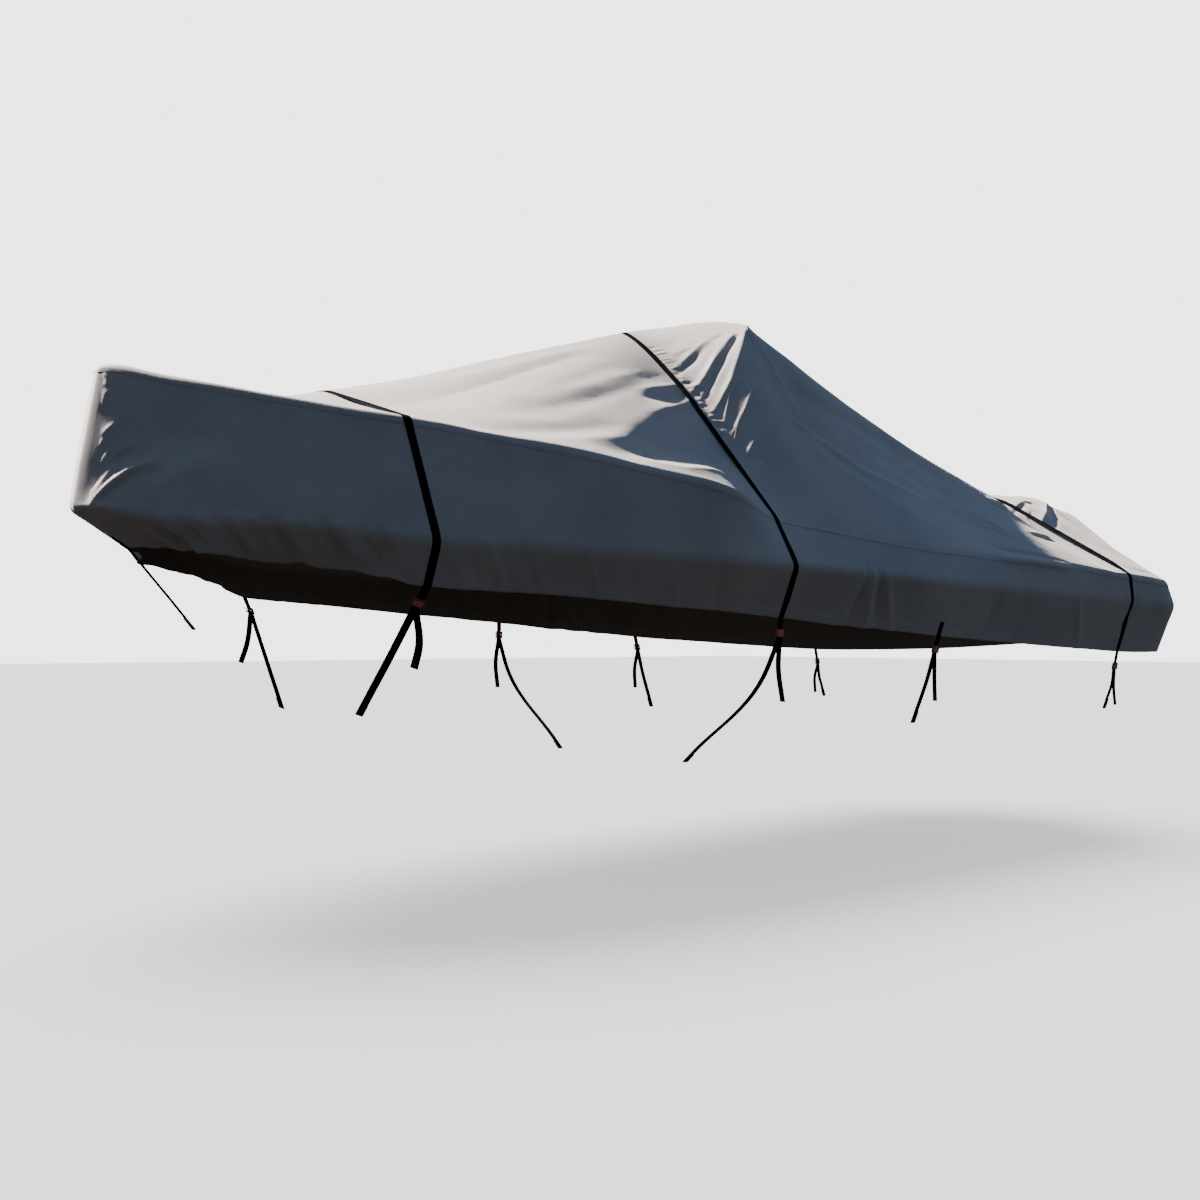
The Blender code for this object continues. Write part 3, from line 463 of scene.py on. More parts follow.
DECK_LINES = places(DECK_SPACING)
deck_creases = in_metres(DECK_CREASES)
deck_port, deck_starboard = hang(
    DECK_LINES, deck_creases + puckers(), twins(deck_creases) + twins(puckers()), 0, SEAM_ROW
)

# Woven polyester, coated on the back: warm grey, matt, a little dusty and faded unevenly,
# with a fine plain weave and lockstitch rows in matching thread beside every seam and hem.
CLOTH_COLOUR, FADED = (0.150, 0.143, 0.143), (0.84, 1.15)
WEAVE_SCALE = 420.0
# The stitch rows' distances from the edge and their pitch; how much of that is thread, half
# a thread's width, its shade beside the cloth's and its height beside the weave's
THREAD_ROWS, THREAD_PITCH = (0.0055, 0.0235), 0.0042
STITCH_SHARE, THREAD_HALF, THREAD_SHADE, THREAD_HEIGHT = 0.66, 0.0007, 0.45, 3.0


def tinted(colour, share):
    return tuple(c * share for c in colour)


def feed(tree, made, inputs):
    """Set a node's inputs, each to a value or from another node's socket."""
    for key, value in inputs.items():
        if isinstance(value, bpy.types.NodeSocket):
            tree.links.new(value, made.inputs[key])
        else:
            made.inputs[key].default_value = value


def node(tree, kind, inputs=None, **settings):
    """A new shader node with its settings and its inputs."""
    made = tree.nodes.new(f"ShaderNode{kind}")
    for name, value in settings.items():
        setattr(made, name, value)
    feed(tree, made, inputs or {})
    return made


def maths(tree, operation, *values):
    return node(tree, "Math", dict(enumerate(values)), operation=operation).outputs["Value"]


def mottle(tree, where, scale, detail, roughness=0.5):
    """Cloudy unevenness all over a piece."""
    clouds = {"Vector": where["Object"], "Scale": scale, "Detail": detail, "Roughness": roughness}
    return node(tree, "TexNoise", clouds).outputs["Fac"]


def shaded(tree, amount, low, high, dark, light):
    """From a dark to a light colour, as an amount rises from low to high."""
    made = node(tree, "ValToRGB", {"Fac": amount})
    for end, position, colour in zip(made.color_ramp.elements, (low, high), (dark, light)):
        end.position = position
        end.color = (*colour, 1)
    return made.outputs["Color"]


def bumped(tree, height, strength, distance):
    bump = {"Height": height, "Strength": strength, "Distance": distance}
    return node(tree, "Bump", bump).outputs["Normal"]


def finish(name, colour, roughness):
    """A new material of one colour: itself, its nodes and its shader."""
    made = bpy.data.materials.new(name)
    made.use_nodes = True
    shader = made.node_tree.nodes["Principled BSDF"]
    feed(made.node_tree, shader, {"Base Color": (*colour, 1), "Roughness": roughness})
    return made, made.node_tree, shader


def cloth_finish():
    made, tree, shader = finish("coated polyester", CLOTH_COLOUR, 0.72)
    where = node(tree, "TexCoord").outputs
    dust = mottle(tree, where, scale=2.2, detail=9.0, roughness=0.62)
    faded = shaded(tree, dust, 0.30, 0.72, *(tinted(CLOTH_COLOUR, share) for share in FADED))
    metres = node(tree, "SeparateXYZ", {"Vector": where["UV"]}).outputs
    dashes = maths(tree, "FRACT", maths(tree, "DIVIDE", metres["X"], THREAD_PITCH))
    rows = [maths(tree, "COMPARE", metres["Y"], row, THREAD_HALF) for row in THREAD_ROWS]
    sewn = maths(tree, "LESS_THAN", dashes, STITCH_SHARE)
    sewn = maths(tree, "MULTIPLY", maths(tree, "ADD", *rows), sewn)
    thread = (*tinted(CLOTH_COLOUR, THREAD_SHADE), 1)
    colour = node(tree, "Mix", {"Factor": sewn, "A": faded, "B": thread}, data_type="RGBA")
    weave, weft = (
        node(tree, "TexWave", {"Vector": where["UV"], "Scale": WEAVE_SCALE}, bands_direction=way)
        for way in "XY"
    )
    woven = maths(tree, "ADD", weave.outputs["Fac"], weft.outputs["Fac"])
    raised = maths(tree, "ADD", woven, maths(tree, "MULTIPLY", sewn, THREAD_HEIGHT))
    feed(tree, shader, {
        "Base Color": colour.outputs["Result"],
        "Normal": bumped(tree, raised, strength=0.12, distance=0.0004),
        "Sheen Weight": 0.10,
        "Sheen Roughness": 0.5,
        "Specular IOR Level": 0.35,
    })
    return made


CLOTH = cloth_finish()
# The cloth's thickness, and how high its double layer stands out where the deck is lapped
CLOTH_THICK, LAP_STEP = 0.0011, 0.0013
# Mesh cells of at most CELL lines and rows, split until none bows more than a share of its
# length: less on the port half, which shows, than on the starboard half
CELL, MOST_BOW, LEAST_BOW = 8, (0.009, 0.020), 0.00004
# Points of both halves this close are shared; points equal to so many decimals are one
SAME, DECIMALS = 1e-6, 5


def add_piece(name, mesh, material):
    """A piece of the cover, moved to the origin under the crown and riding on the part."""
    mesh.transform(Matrix.Translation(-Vector(CROWN)))
    mesh.polygons.foreach_set("use_smooth", np.ones(len(mesh.polygons), dtype=bool))
    mesh.materials.append(material)
    piece = bpy.data.objects.new(name, mesh)
    bpy.context.scene.collection.objects.link(piece)
    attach(piece, "root")
    return piece


def bow(patch, normal, axis):
    """How far a patch bows from straight along one axis, as a share of its length."""
    patch = np.moveaxis(patch, axis, 0)
    if len(patch) < 3:
        return 0.0
    t = np.linspace(0, 1, len(patch))[:, None, None]
    depth = np.abs((patch - patch[0] - (patch[-1] - patch[0]) * t) @ normal).max()
    return depth / norm(patch[-1] - patch[0], axis=-1).max() if depth > LEAST_BOW else 0.0


def cells_of(grid, most_bow):
    """Cells over a fine grid, small where the cloth is creased, and the points they use."""
    last_line, last_row = grid.shape[0] - 1, grid.shape[1] - 1
    waiting = [
        (s, min(s + CELL, last_line), r, min(r + CELL, last_row))
        for s in range(0, last_line, CELL) for r in range(0, last_row, CELL)
    ]
    used, cells = np.zeros(grid.shape[:2], dtype=bool), []
    while waiting:
        s0, s1, r0, r1 = waiting.pop()
        patch = grid[s0:s1 + 1, r0:r1 + 1]
        normal = np.cross(patch[-1, -1] - patch[0, 0], patch[0, -1] - patch[-1, 0])
        normal /= norm(normal) + 1e-12
        along, across = bow(patch, normal, 0), bow(patch, normal, 1)
        if max(along, across) < most_bow:
            cells.append((s0, s1, r0, r1))
            used[[s0, s0, s1, s1], [r0, r1, r0, r1]] = True
        elif along > across:
            middle = (s0 + s1) // 2
            waiting += [(s0, middle, r0, r1), (middle, s1, r0, r1)]
        else:
            middle = (r0 + r1) // 2
            waiting += [(s0, s1, r0, middle), (s0, s1, middle, r1)]
    return cells, used


def built(name, points, faces, corners, last_step):
    """A mesh with its faces' corners in metres of flat cloth, after one last step over it."""
    mesh = bpy.data.meshes.new(name)
    mesh.from_pydata(points, [], faces)
    mesh.uv_layers.new(name="Metres").data.foreach_set("uv", np.array(corners).ravel())
    shape = bmesh.new()
    shape.from_mesh(mesh)
    last_step(shape)
    shape.to_mesh(mesh)
    shape.free()
    return mesh


def sharp_rim(shape):
    for edge in shape.edges:
        edge.smooth = not edge.is_boundary


def cloth_piece(name, halves):
    """A sheet over grids of points, joined where they meet and thickened inwards.

    Each half is its grid, its lines' places and whether its faces turn the other way.
    """
    points, faces, corners, known = [], [], [], {}
    split = [cells_of(grid, MOST_BOW[turned]) for grid, _, turned in halves]
    if len(halves) == 2:
        shared = norm(halves[0][0] - halves[1][0], axis=2) < SAME
        shared &= split[0][1] | split[1][1]
        for _, used in split:
            used |= shared

    def index(point):
        key = tuple(np.round(point, DECIMALS))
        if key not in known:
            known[key] = len(points)
            points.append(tuple(point))
        return known[key]

    for (grid, lines, turned), (cells, used) in zip(halves, split):
        spans = norm(np.diff(grid, axis=1), axis=2)
        from_edge = np.pad(np.cumsum(spans[:, ::-1], axis=1)[:, ::-1], ((0, 0), (0, 1)))
        at = {(i, j): index(grid[i, j]) for i, j in zip(*np.nonzero(used))}
        for s0, s1, r0, r1 in cells:
            ring = [(s0, r) for r in range(r0, r1)] + [(s, r1) for s in range(s0, s1)]
            ring += [(s1, r) for r in range(r1, r0, -1)] + [(s, r0) for s in range(s1, s0, -1)]
            spots = [spot for spot in ring if spot in at]
            if turned:
                spots.reverse()
            kept = [spot for i, spot in enumerate(spots) if at[spot] != at[spots[i - 1]]]
            if len(kept) > 2:
                faces.append([at[spot] for spot in kept])
                corners += [(lines[i], from_edge[i, j]) for i, j in kept]
    piece = add_piece(name, built(name, points, faces, corners, sharp_rim), CLOTH)
    solid = piece.modifiers.new("Thickness", "SOLIDIFY")
    solid.thickness = CLOTH_THICK
    solid.offset = -1.0
    return piece


def raise_rows(grids, rows, heights):
    """Rows of both halves raised off the cloth: a lap, or the double cloth of a hem."""
    for grid, normal in zip(grids, outward(*grids)):
        for row, height in zip(rows, heights):
            grid[:, row] += normal[:, row] * height


raise_rows((deck_port, deck_starboard), (-3, -2, -1), (LAP_STEP * 0.5, LAP_STEP, LAP_STEP))
deck = cloth_piece("deck_cloth", [(deck_port, DECK_LINES, False), (deck_starboard, DECK_LINES, True)])
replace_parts(deck, "deck_panel")

# ---- Side panels ----
# One long cut a side, from the stem to the stern: upright below the deck's edge, then
# tucked in under the rub line. The tuck is gathered in slanting pleats round the bow, and
# the hem is turned once and sewn with two rows of stitches.
SIDE_SPACING = {
    "stem": 0.005, "bow quarter": 0.006, "bow side": 0.009, "middle tie": 0.008, "stern wing": 0.012,
}
# Where the cloth is drawn round the bow, in the same terms as the deck's creases
BOW_PULLS = {
    "long pull": (
        ((3992, 84, 1624), (3945, 126, 1683), (3898, 169, 1728), (3831, 239, 1763)),
        13, 18, 16, 1.5),
    "long pull shadow": (((3968, 112, 1628), (3915, 158, 1689), (3865, 208, 1728)), 12, 16, -4, 1.7),
    "first pull": (((3991, 79, 1649), (3964, 103, 1693), (3938, 124, 1738)), 9, 10, 6, 1.5),
    "upper pull": (((3928, 126, 1781), (3915, 136, 1802), (3886, 164, 1821)), 8, 10, 6, 1.5),
    "short pull": (((3961, 91, 1763), (3939, 108, 1805)), 7, 8, 5, 1.5),
    "small pull": (((3963, 76, 1824), (3950, 87, 1843)), 6, 7, 4, 1.5),
    "middle pull": (((3954, 78, 1864), (3922, 109, 1897)), 8, 9, 6, 1.5),
    "top pucker": (((3942, 45, 2078), (3929, 65, 2058)), 6, 7, 4, 1.5),
    "second pucker": (((3942, 53, 2045), (3926, 74, 2037)), 6, 7, 4, 1.5),
    "third pucker": (((3946, 56, 2009), (3929, 76, 2008)), 6, 7, 4, 1.5),
    "fourth pucker": (((3948, 61, 1974), (3942, 62, 2002)), 6, 7, 3, 1.5),
    "low pull": (((4025, 38, 1607), (3982, 96, 1610), (3934, 152, 1599)), 10, 12, 6, 1.6),
    "bow sag": (((3880, 190, 1900), (3600, 420, 1820)), 60, 80, -8, 2.0),
    "bow crease": (((3840, 240, 1660), (3660, 400, 1800)), 26, 50, 8, 1.6),
    "side sag": (((3700, 320, 1640), (3200, 720, 1620)), 60, 90, 8, 2.0),
}
# Folds of the tuck, in millimetres: where each leaves the rub line and where it meets the
# hem, along the rub line from the stem, and how far it stands out
TUCK_FOLDS = (
    (620, 700, 21), (740, 830, -18), (800, 900, 19), (920, 1020, -18), (980, 1090, 18),
    (1110, 1200, -15), (1210, 1270, 13), (1720, 1660, 9), (2450, 2520, -9), (2900, 2840, 11),
    (3260, 3160, 18), (3290, 3250, -18), (3320, 3350, 19), (3360, 3440, -15), (3400, 3530, 17),
    (4300, 4200, -11), (4950, 5080, 11), (5550, 5400, -9), (6300, 6340, 12), (6850, 6800, -12),
)
BOW_PLEATS = (
    (260, 350, 12), (310, 410, -12), (370, 470, 13), (430, 540, -13), (500, 610, 15),
    (560, 680, -13), (680, 780, 15), (870, 970, 15), (1050, 1150, -13), (1170, 1240, 13),
    (1360, 1440, 9), (1420, 1500, -11), (1490, 1580, 12), (1600, 1700, -9), (1860, 1950, 9),
    (2050, 2120, -7), (2220, 2310, 7),
)
# The widths of both sets at the rub line and at the hem, and how crisp all of them are
FOLD_WIDTHS, PLEAT_WIDTHS, FOLD_CRISP = (0.016, 0.030), (0.009, 0.018), 1.4
# How high the double cloth of the hem stands out
HEM_STEP = 0.0012
# The hem's own waves: their length and seed, their height round the bow and everywhere,
# and how far aft of the stem they are that high
WAVE_LENGTH, WAVE_SEED, BOW_WAVE, HEM_WAVE, BOW_RUN = 0.07, 2.0, 0.006, 0.0012, 1.3


def tuck_creases():
    """The folds and pleats, each from the middle of the upper bend down to the hem."""
    found = []
    for folds, widths in ((TUCK_FOLDS, FOLD_WIDTHS), (BOW_PLEATS, PLEAT_WIDTHS)):
        for top, foot, height in folds:
            line = half_line(top / 1000)
            start = line[RUB_ROW] + (line[RUB_ROW - BEND_ROWS // 2] - line[RUB_ROW]) / 2
            end = half_line(foot / 1000)[HEM_ROW]
            found.append(((start, end), *widths, height / 1000, FOLD_CRISP))
    return found


SIDE_LINES = places(SIDE_SPACING)
side_creases = deck_creases + in_metres(BOW_PULLS) + tuck_creases()
side_port, side_starboard = hang(SIDE_LINES, side_creases, twins(side_creases), FOLD_ROW, HEM_ROW)
hem_wave = np.array([noise.noise(Vector((place / WAVE_LENGTH, 0.0, WAVE_SEED))) for place in SIDE_LINES])
hem_reach = BOW_WAVE * np.exp(-((SIDE_LINES / BOW_RUN) ** 4)) + HEM_WAVE
hem_wave[[0, -1]] = 0.0
for grid in (side_port, side_starboard):
    for step in range(SKIRT_ROWS):
        grid[:, -1 - step, 2] += hem_wave * hem_reach * (1 - step / SKIRT_ROWS) ** 2
raise_rows((side_port, side_starboard), (-3, -2, -1), (HEM_STEP, HEM_STEP, HEM_STEP))
STERN_LINE = int(np.argmin(abs(SIDE_LINES - PLACE["stern wing"])))
for name, grid, turned in (("port", side_port, False), ("starboard", side_starboard, True)):
    side = cloth_piece(
        f"side_cloth_{name}", [(grid[:STERN_LINE + 1], SIDE_LINES[:STERN_LINE + 1], turned)]
    )
    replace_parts(side, f"side_panel_{name}")

# ---- Stern panel ----
# The cut that closes the back below the hump, sewn between the side panels and tucked
# under at its foot like them.
stern = cloth_piece("stern_cloth", [
    (side_port[STERN_LINE:], SIDE_LINES[STERN_LINE:], False),
    (side_starboard[STERN_LINE:], SIDE_LINES[STERN_LINE:], True),
])
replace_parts(stern, "stern_panel")

# ---- Ties ----
# Flat black webbing over the whole cover, three times: pulled tight over the cloth, down
# both sides and past the hem to a buckle on each side.
WEB_WIDTH, WEB_THICK, WEB_GAP = 0.030, 0.0015, 0.0004
# The webbing's edge in section, from side to side: shares of half its width and thickness
SELVEDGE = ((-1.0, 0.0), (-0.975, 0.75), (-0.93, 1.0), (-0.45, 1.0), (0.0, 1.0), (0.45, 1.0),
            (0.93, 1.0), (0.975, 0.75), (1.0, 0.0))
TWILL_PITCH, WARP_PITCH = 0.0022, 0.0013
WEB_DARK, WEB_LIGHT = (0.0020, 0.0020, 0.0026), (0.0050, 0.0050, 0.0062)


def webbing_finish():
    """Black woven webbing: a flat twill with a rounder woven selvedge along both edges."""
    made, tree, shader = finish("black webbing", (0.003, 0.003, 0.0035), 1.0)
    where = node(tree, "TexCoord").outputs
    metres = node(tree, "SeparateXYZ", {"Vector": where["UV"]}).outputs
    slant = maths(tree, "ADD", metres["X"], metres["Y"])
    twill, warp = (
        maths(tree, "SINE", maths(tree, "MULTIPLY", run, 2 * math.pi / pitch))
        for run, pitch in ((slant, TWILL_PITCH), (metres["Y"], WARP_PITCH))
    )
    woven = maths(tree, "ADD", twill, warp)
    wear = mottle(tree, where, scale=14.0, detail=6.0)
    feed(tree, shader, {
        "Base Color": shaded(tree, wear, 0.35, 0.75, WEB_DARK, WEB_LIGHT),
        "Normal": bumped(tree, woven, strength=0.5, distance=0.0003),
        "Specular IOR Level": 0.005,
    })
    return made


WEBBING = webbing_finish()


def webbing(name, path, across, out):
    """Flat webbing along a path, its width along the across vectors and its face outwards."""
    path, across, out = (np.array(list(values)) for values in (path, across, out))
    across = across - out * np.sum(across * out, axis=1)[:, None]
    across /= norm(across, axis=1)[:, None]
    ring = [*SELVEDGE, *((u, -h) for u, h in SELVEDGE[-2:0:-1])]
    run, count = run_along(path), len(ring)
    points, faces, corners = [], [], []
    for p, a, o in zip(path, across, out):
        points += [tuple(p + a * (u * WEB_WIDTH / 2) + o * (h * WEB_THICK / 2)) for u, h in ring]
    for i in range(len(path) - 1):
        for j in range(count):
            k = (j + 1) % count
            faces.append((i * count + j, i * count + k, (i + 1) * count + k, (i + 1) * count + j))
            u, v = ring[j][0] * WEB_WIDTH / 2, ring[k][0] * WEB_WIDTH / 2
            corners += [(run[i], u), (run[i], v), (run[i + 1], v), (run[i + 1], u)]
    for i, end in ((0, range(count)[::-1]), (len(path) - 1, range(count))):
        faces.append([i * count + j for j in end])
        corners += [(run[i], ring[j][0] * WEB_WIDTH / 2) for j in end]
    mesh = built(
        name, points, faces, corners,
        lambda shape: bmesh.ops.recalc_face_normals(shape, faces=shape.faces),
    )
    return add_piece(name, mesh, WEBBING)


# Pulled tight, a tie runs straight over the deck's hollows. The aft one bears on the front
# of the hump with one edge and so is turned a little towards the bow.
TIE_TWIST = {"aft tie": math.radians(26.0)}
# The shares of its run in which the turn comes and goes, and the points it is evened over
TWIST_RISE, TWIST_FALL, EVEN_OUT = 0.22, 0.10, 12


def drawn_tight(path, across, out, twist):
    """A run of webbing under pull: straight over hollows, its width turning evenly."""
    run = np.maximum.accumulate(np.abs(path[:, 1]) + np.arange(len(path)) * 1e-6)
    bears = [0]
    for i in range(1, len(path)):
        while len(bears) > 1:
            a, b = bears[-2:]
            onward = (path[i, 2] - path[b, 2]) * (run[b] - run[a])
            if onward < (path[b, 2] - path[a, 2]) * (run[i] - run[b]):
                break
            bears.pop()
        bears.append(i)
    path = np.stack([np.interp(run, run[bears], path[bears, k]) for k in range(3)], axis=1)
    padded = np.pad(across, ((EVEN_OUT, EVEN_OUT), (0, 0)), mode="edge")
    across = sum(padded[i:i + len(path)] for i in range(2 * EVEN_OUT + 1))
    along = np.gradient(path, axis=0)
    across -= along * (np.sum(across * along, axis=1) / np.sum(along * along, axis=1))[:, None]
    across /= norm(across, axis=1)[:, None]
    facing = np.cross(along, across)
    facing *= (np.sign(np.sum(facing * out, axis=1)) / norm(facing, axis=1))[:, None]
    share = run / run[-1]
    turn = twist * np.clip(np.minimum(share / TWIST_RISE, (1 - share) / TWIST_FALL), 0, 1)
    cos, sin = np.cos(turn)[:, None], np.sin(turn)[:, None]
    path = path + facing * sin * WEB_WIDTH / 2
    return path, across * cos + facing * sin, facing * cos - across * sin


# Every how many rows the webbing touches down, how far to its sides the cloth is looked at,
# the least spacing of lines there, and how much wider than the webbing that strip is
ROW_STEP, LOOK_BESIDE, LEAST_SPACING, BESIDE = 3, 0.022, 0.004, 0.006


def over_cloth(name, side):
    """The line of webbing on one half, spine to hem: points, across and outward vectors."""
    points, across, out = [], [], []
    half = 0 if side > 0 else 1
    for grids, lines, rows in (
        ((deck_port, deck_starboard), DECK_LINES, range(0, SEAM_ROW, ROW_STEP)),
        ((side_port, side_starboard), SIDE_LINES, range(ROW_STEP, HEM_ROW - FOLD_ROW, ROW_STEP)),
    ):
        grid = grids[half]
        normals = outward(*grids)[half]
        k = int(np.argmin(abs(lines - PLACE[name])))
        reach = max(2, int(LOOK_BESIDE / max(lines[k + 1] - lines[k], LEAST_SPACING)) + 1)
        for row in (*rows, rows.stop):
            middle, normal = grid[k, row], normals[k, row]
            along = grid[k + 1, row] - grid[k - 1, row]
            along = along / norm(along)
            near = grid[k - reach:k + reach + 1, row] - middle
            beside = np.abs(near @ along) < WEB_WIDTH / 2 + BESIDE
            height = max(0.0, (near[beside] @ normal).max()) + WEB_GAP + WEB_THICK / 2
            points.append((middle, height))
            across.append(along)
            out.append(normal)
    heights = np.array([h for _, h in points])
    padded = np.pad(heights, 1, mode="edge")
    heights = np.maximum(heights, (padded[:-2] + padded[1:-1] + padded[2:]) / 3)
    path = np.array([p + o * h for (p, _), o, h in zip(points, out, heights)])
    across, out = np.array(across), np.array(out)
    top, twist = slice(0, SEAM_ROW // ROW_STEP + 2), TIE_TWIST.get(name, 0.0)
    path[top], across[top], out[top] = drawn_tight(path[top], across[top], out[top], twist)
    return list(path), list(across), list(out)


# Below the hem: each buckle's middle, a knee where the lower webbing turns inwards, its
# sewn lower end, and points of its free tail (port side; the starboard side mirrors it).
DROPS = {
    "forward tie": ((3.074, 0.712, 1.281), (3.085, 0.530, 1.085), (3.10, 0.330, 0.870),
                    ((3.080, 0.728, 1.130), (3.105, 0.735, 1.050))),
    "middle tie": ((1.540, 1.010, 1.178), (1.545, 0.926, 1.000), (1.55, 0.454, 0.610),
                   ((1.556, 1.018, 1.030), (1.538, 1.025, 0.896))),
    "back slope": ((0.53, 1.045, 1.108), (0.53, 1.000, 0.970), (0.53, 0.917, 0.765),
                   ((0.545, 1.050, 0.980), (0.54, 1.050, 0.870))),
    "aft tie": ((-1.07, 1.047, 1.009), (-1.07, 1.030, 0.910), (-1.07, 0.985, 0.780),
                ((-1.05, 1.052, 0.900), (-1.06, 1.055, 0.800))),
}
PIECE_NAMES = {"forward tie": "forward", "middle tie": "middle", "back slope": "hem", "aft tie": "aft"}
HANDS = (("port", 1), ("starboard", -1))
# A buckle's length, how far from its middle a layer of webbing lies, the straight run into
# it, and how near its middle the upper webbing is fixed
BUCKLE_LENGTH, LAYER, LEAD, FIXED_END = 0.036, 0.0025, 0.006, 0.003


def mirrored(point, side):
    return np.array((point[0], point[1] * side, point[2]))


def buckle_frame(name, side):
    """The buckle's middle and its axes: across, down and outwards, in line with the webbing."""
    path, _, out = over_cloth(name, side)
    middle = mirrored(DROPS[name][0], side)
    down = (middle - path[-1]) / norm(middle - path[-1])
    facing = out[-1] - down * (out[-1] @ down)
    facing /= norm(facing)
    return middle, np.cross(down, facing), down, facing


def upper_end(name, side):
    """The last points of the upper webbing: above the buckle, and in its slot."""
    middle, across, down, out = buckle_frame(name, side)
    inner = middle - out * WEB_THICK / 2
    path = [inner - down * (BUCKLE_LENGTH / 2 + LEAD), inner - down * FIXED_END]
    return path, [-side * across] * 2, [out] * 2


for name in TIES:
    port, starboard = (
        [run + end for run, end in zip(over_cloth(name, side), upper_end(name, side))] for _, side in HANDS
    )
    tie = webbing(f"tie_web_{PIECE_NAMES[name]}", *(p[::-1] + s[1:] for p, s in zip(port, starboard)))
    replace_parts(tie, f"tie_{PIECE_NAMES[name]}")

# ---- Hem tabs ----
# A short length of webbing sewn to the skirt on each side, between the middle and the aft
# tie, with a buckle of its own.
TAB_LENGTH = 0.068
for side_name, side in HANDS:
    whole = over_cloth("back slope", side)
    keep = [i for i, p in enumerate(whole[0]) if norm(p - whole[0][-1]) < TAB_LENGTH]
    tab = webbing(f"tab_web_{side_name}", *(
        [run[i] for i in keep] + end for run, end in zip(whole, upper_end("back slope", side))
    ))
    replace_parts(tab, f"tab_{side_name}")

# ---- Lower webbing ----
# Under each buckle the lower webbing comes up from its sewn end, turns round the buckle's
# cam bar and hangs down again as a short free tail with a heat-cut end.
# How long the sewn end is and how round its turn, and the room round the cam bar
FOLD_BACK, FOLD_BACK_TURN, BAR_ROOM = 0.055, 0.0017, 0.0018
ROUTE_STEPS, END_POINTS, LOOP_POINTS = 12, 9, 11


def smooth_route(points, steps):
    """A smooth curve through all the points, with so many steps between each two."""
    found = []
    for i in range(len(points) - 1):
        before = points[i - 1] if i else 2 * points[0] - points[1]
        after = points[i + 2] if i + 2 < len(points) else 2 * points[-1] - points[-2]
        found += list(curve_through(points[i], points[i + 1], before, after, np.arange(steps) / steps))
    return found + [points[-1]]


def fold_back(end, direction, out):
    """The end of a run, turned back on itself and sewn flat."""
    turn = [
        end + out * FOLD_BACK_TURN * (1 - math.cos(a)) + direction * FOLD_BACK_TURN * math.sin(a)
        for a in np.linspace(0.0, math.pi, END_POINTS)
    ]
    return turn + [turn[-1] - direction * FOLD_BACK]


def facing_of(path, across):
    """Outward vectors of a path whose width runs along one direction."""
    along = np.gradient(np.array(path), axis=0)
    out = np.cross(across, along)
    return out / norm(out, axis=1)[:, None]


def lower_web(name, side_name, side):
    """Up from the sewn end, round the cam bar, and down again as a free tail."""
    middle, across, down, out = buckle_frame(name, side)
    knee, end = mirrored(DROPS[name][1], side), mirrored(DROPS[name][2], side)
    tail = [mirrored(p, side) for p in DROPS[name][3]]
    low = middle + down * (BUCKLE_LENGTH / 2 + LEAD)
    high = middle + down * (LAYER + WEB_THICK / 2 + BAR_ROOM)
    lead = towards(end, knee, FOLD_BACK + LEAD)
    run = smooth_route([low - out * LAYER, knee, lead], ROUTE_STEPS) + [end]
    heading_down = (run[-1] - run[-2]) / norm(run[-1] - run[-2])
    back = out - heading_down * (out @ heading_down)
    back /= norm(back)
    turn = [
        high - out * LAYER * math.cos(a) - down * LAYER * math.sin(a)
        for a in np.linspace(0, math.pi, LOOP_POINTS)
    ]
    path = fold_back(run[-1], heading_down, back)[::-1] + run[-2::-1] + turn
    path += smooth_route([low + out * LAYER, *tail], ROUTE_STEPS)
    web_name = f"lower_web_{name}_{side_name}".replace(" ", "_")
    return webbing(web_name, path, [across] * len(path), facing_of(path, across))


for side_name, side in HANDS:
    for name in DROPS:
        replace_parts(lower_web(name, side_name, side), f"lower_{PIECE_NAMES[name]}_{side_name}")

# ---- Bow strap ----
# Webbing sewn under the bow along the stem seam, running down and aft to its sewn end.
BOW_STRAP = {"sewn": 0.070, "knee": (3.680, 0.0, 1.287), "end": (3.600, 0.0, 1.190), "steps": 8}
stem_line = side_port[0]
stem_out = outward(side_port, side_starboard)[0][0]
sewn = [i for i, p in enumerate(stem_line) if norm(p - stem_line[-1]) < BOW_STRAP["sewn"]]
strap = [stem_line[i] + stem_out[i] * (WEB_GAP + WEB_THICK / 2 + HEM_STEP) for i in sewn]
strap_knee, strap_end = np.array(BOW_STRAP["knee"]), np.array(BOW_STRAP["end"])
strap_down = (strap_end - strap_knee) / norm(strap_end - strap_knee)
strap_back = -np.array((strap_down[2], 0.0, -strap_down[0]))
strap += smooth_route([strap[-1], (strap[-1] + strap_knee) / 2, strap_knee], BOW_STRAP["steps"])[1:]
strap += fold_back(strap_end, strap_down, strap_back)
beam = np.array((0.0, 1.0, 0.0))
bow_web = webbing("bow_web", strap, [beam] * len(strap), -facing_of(strap, beam))
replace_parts(bow_web, "bow_strap")

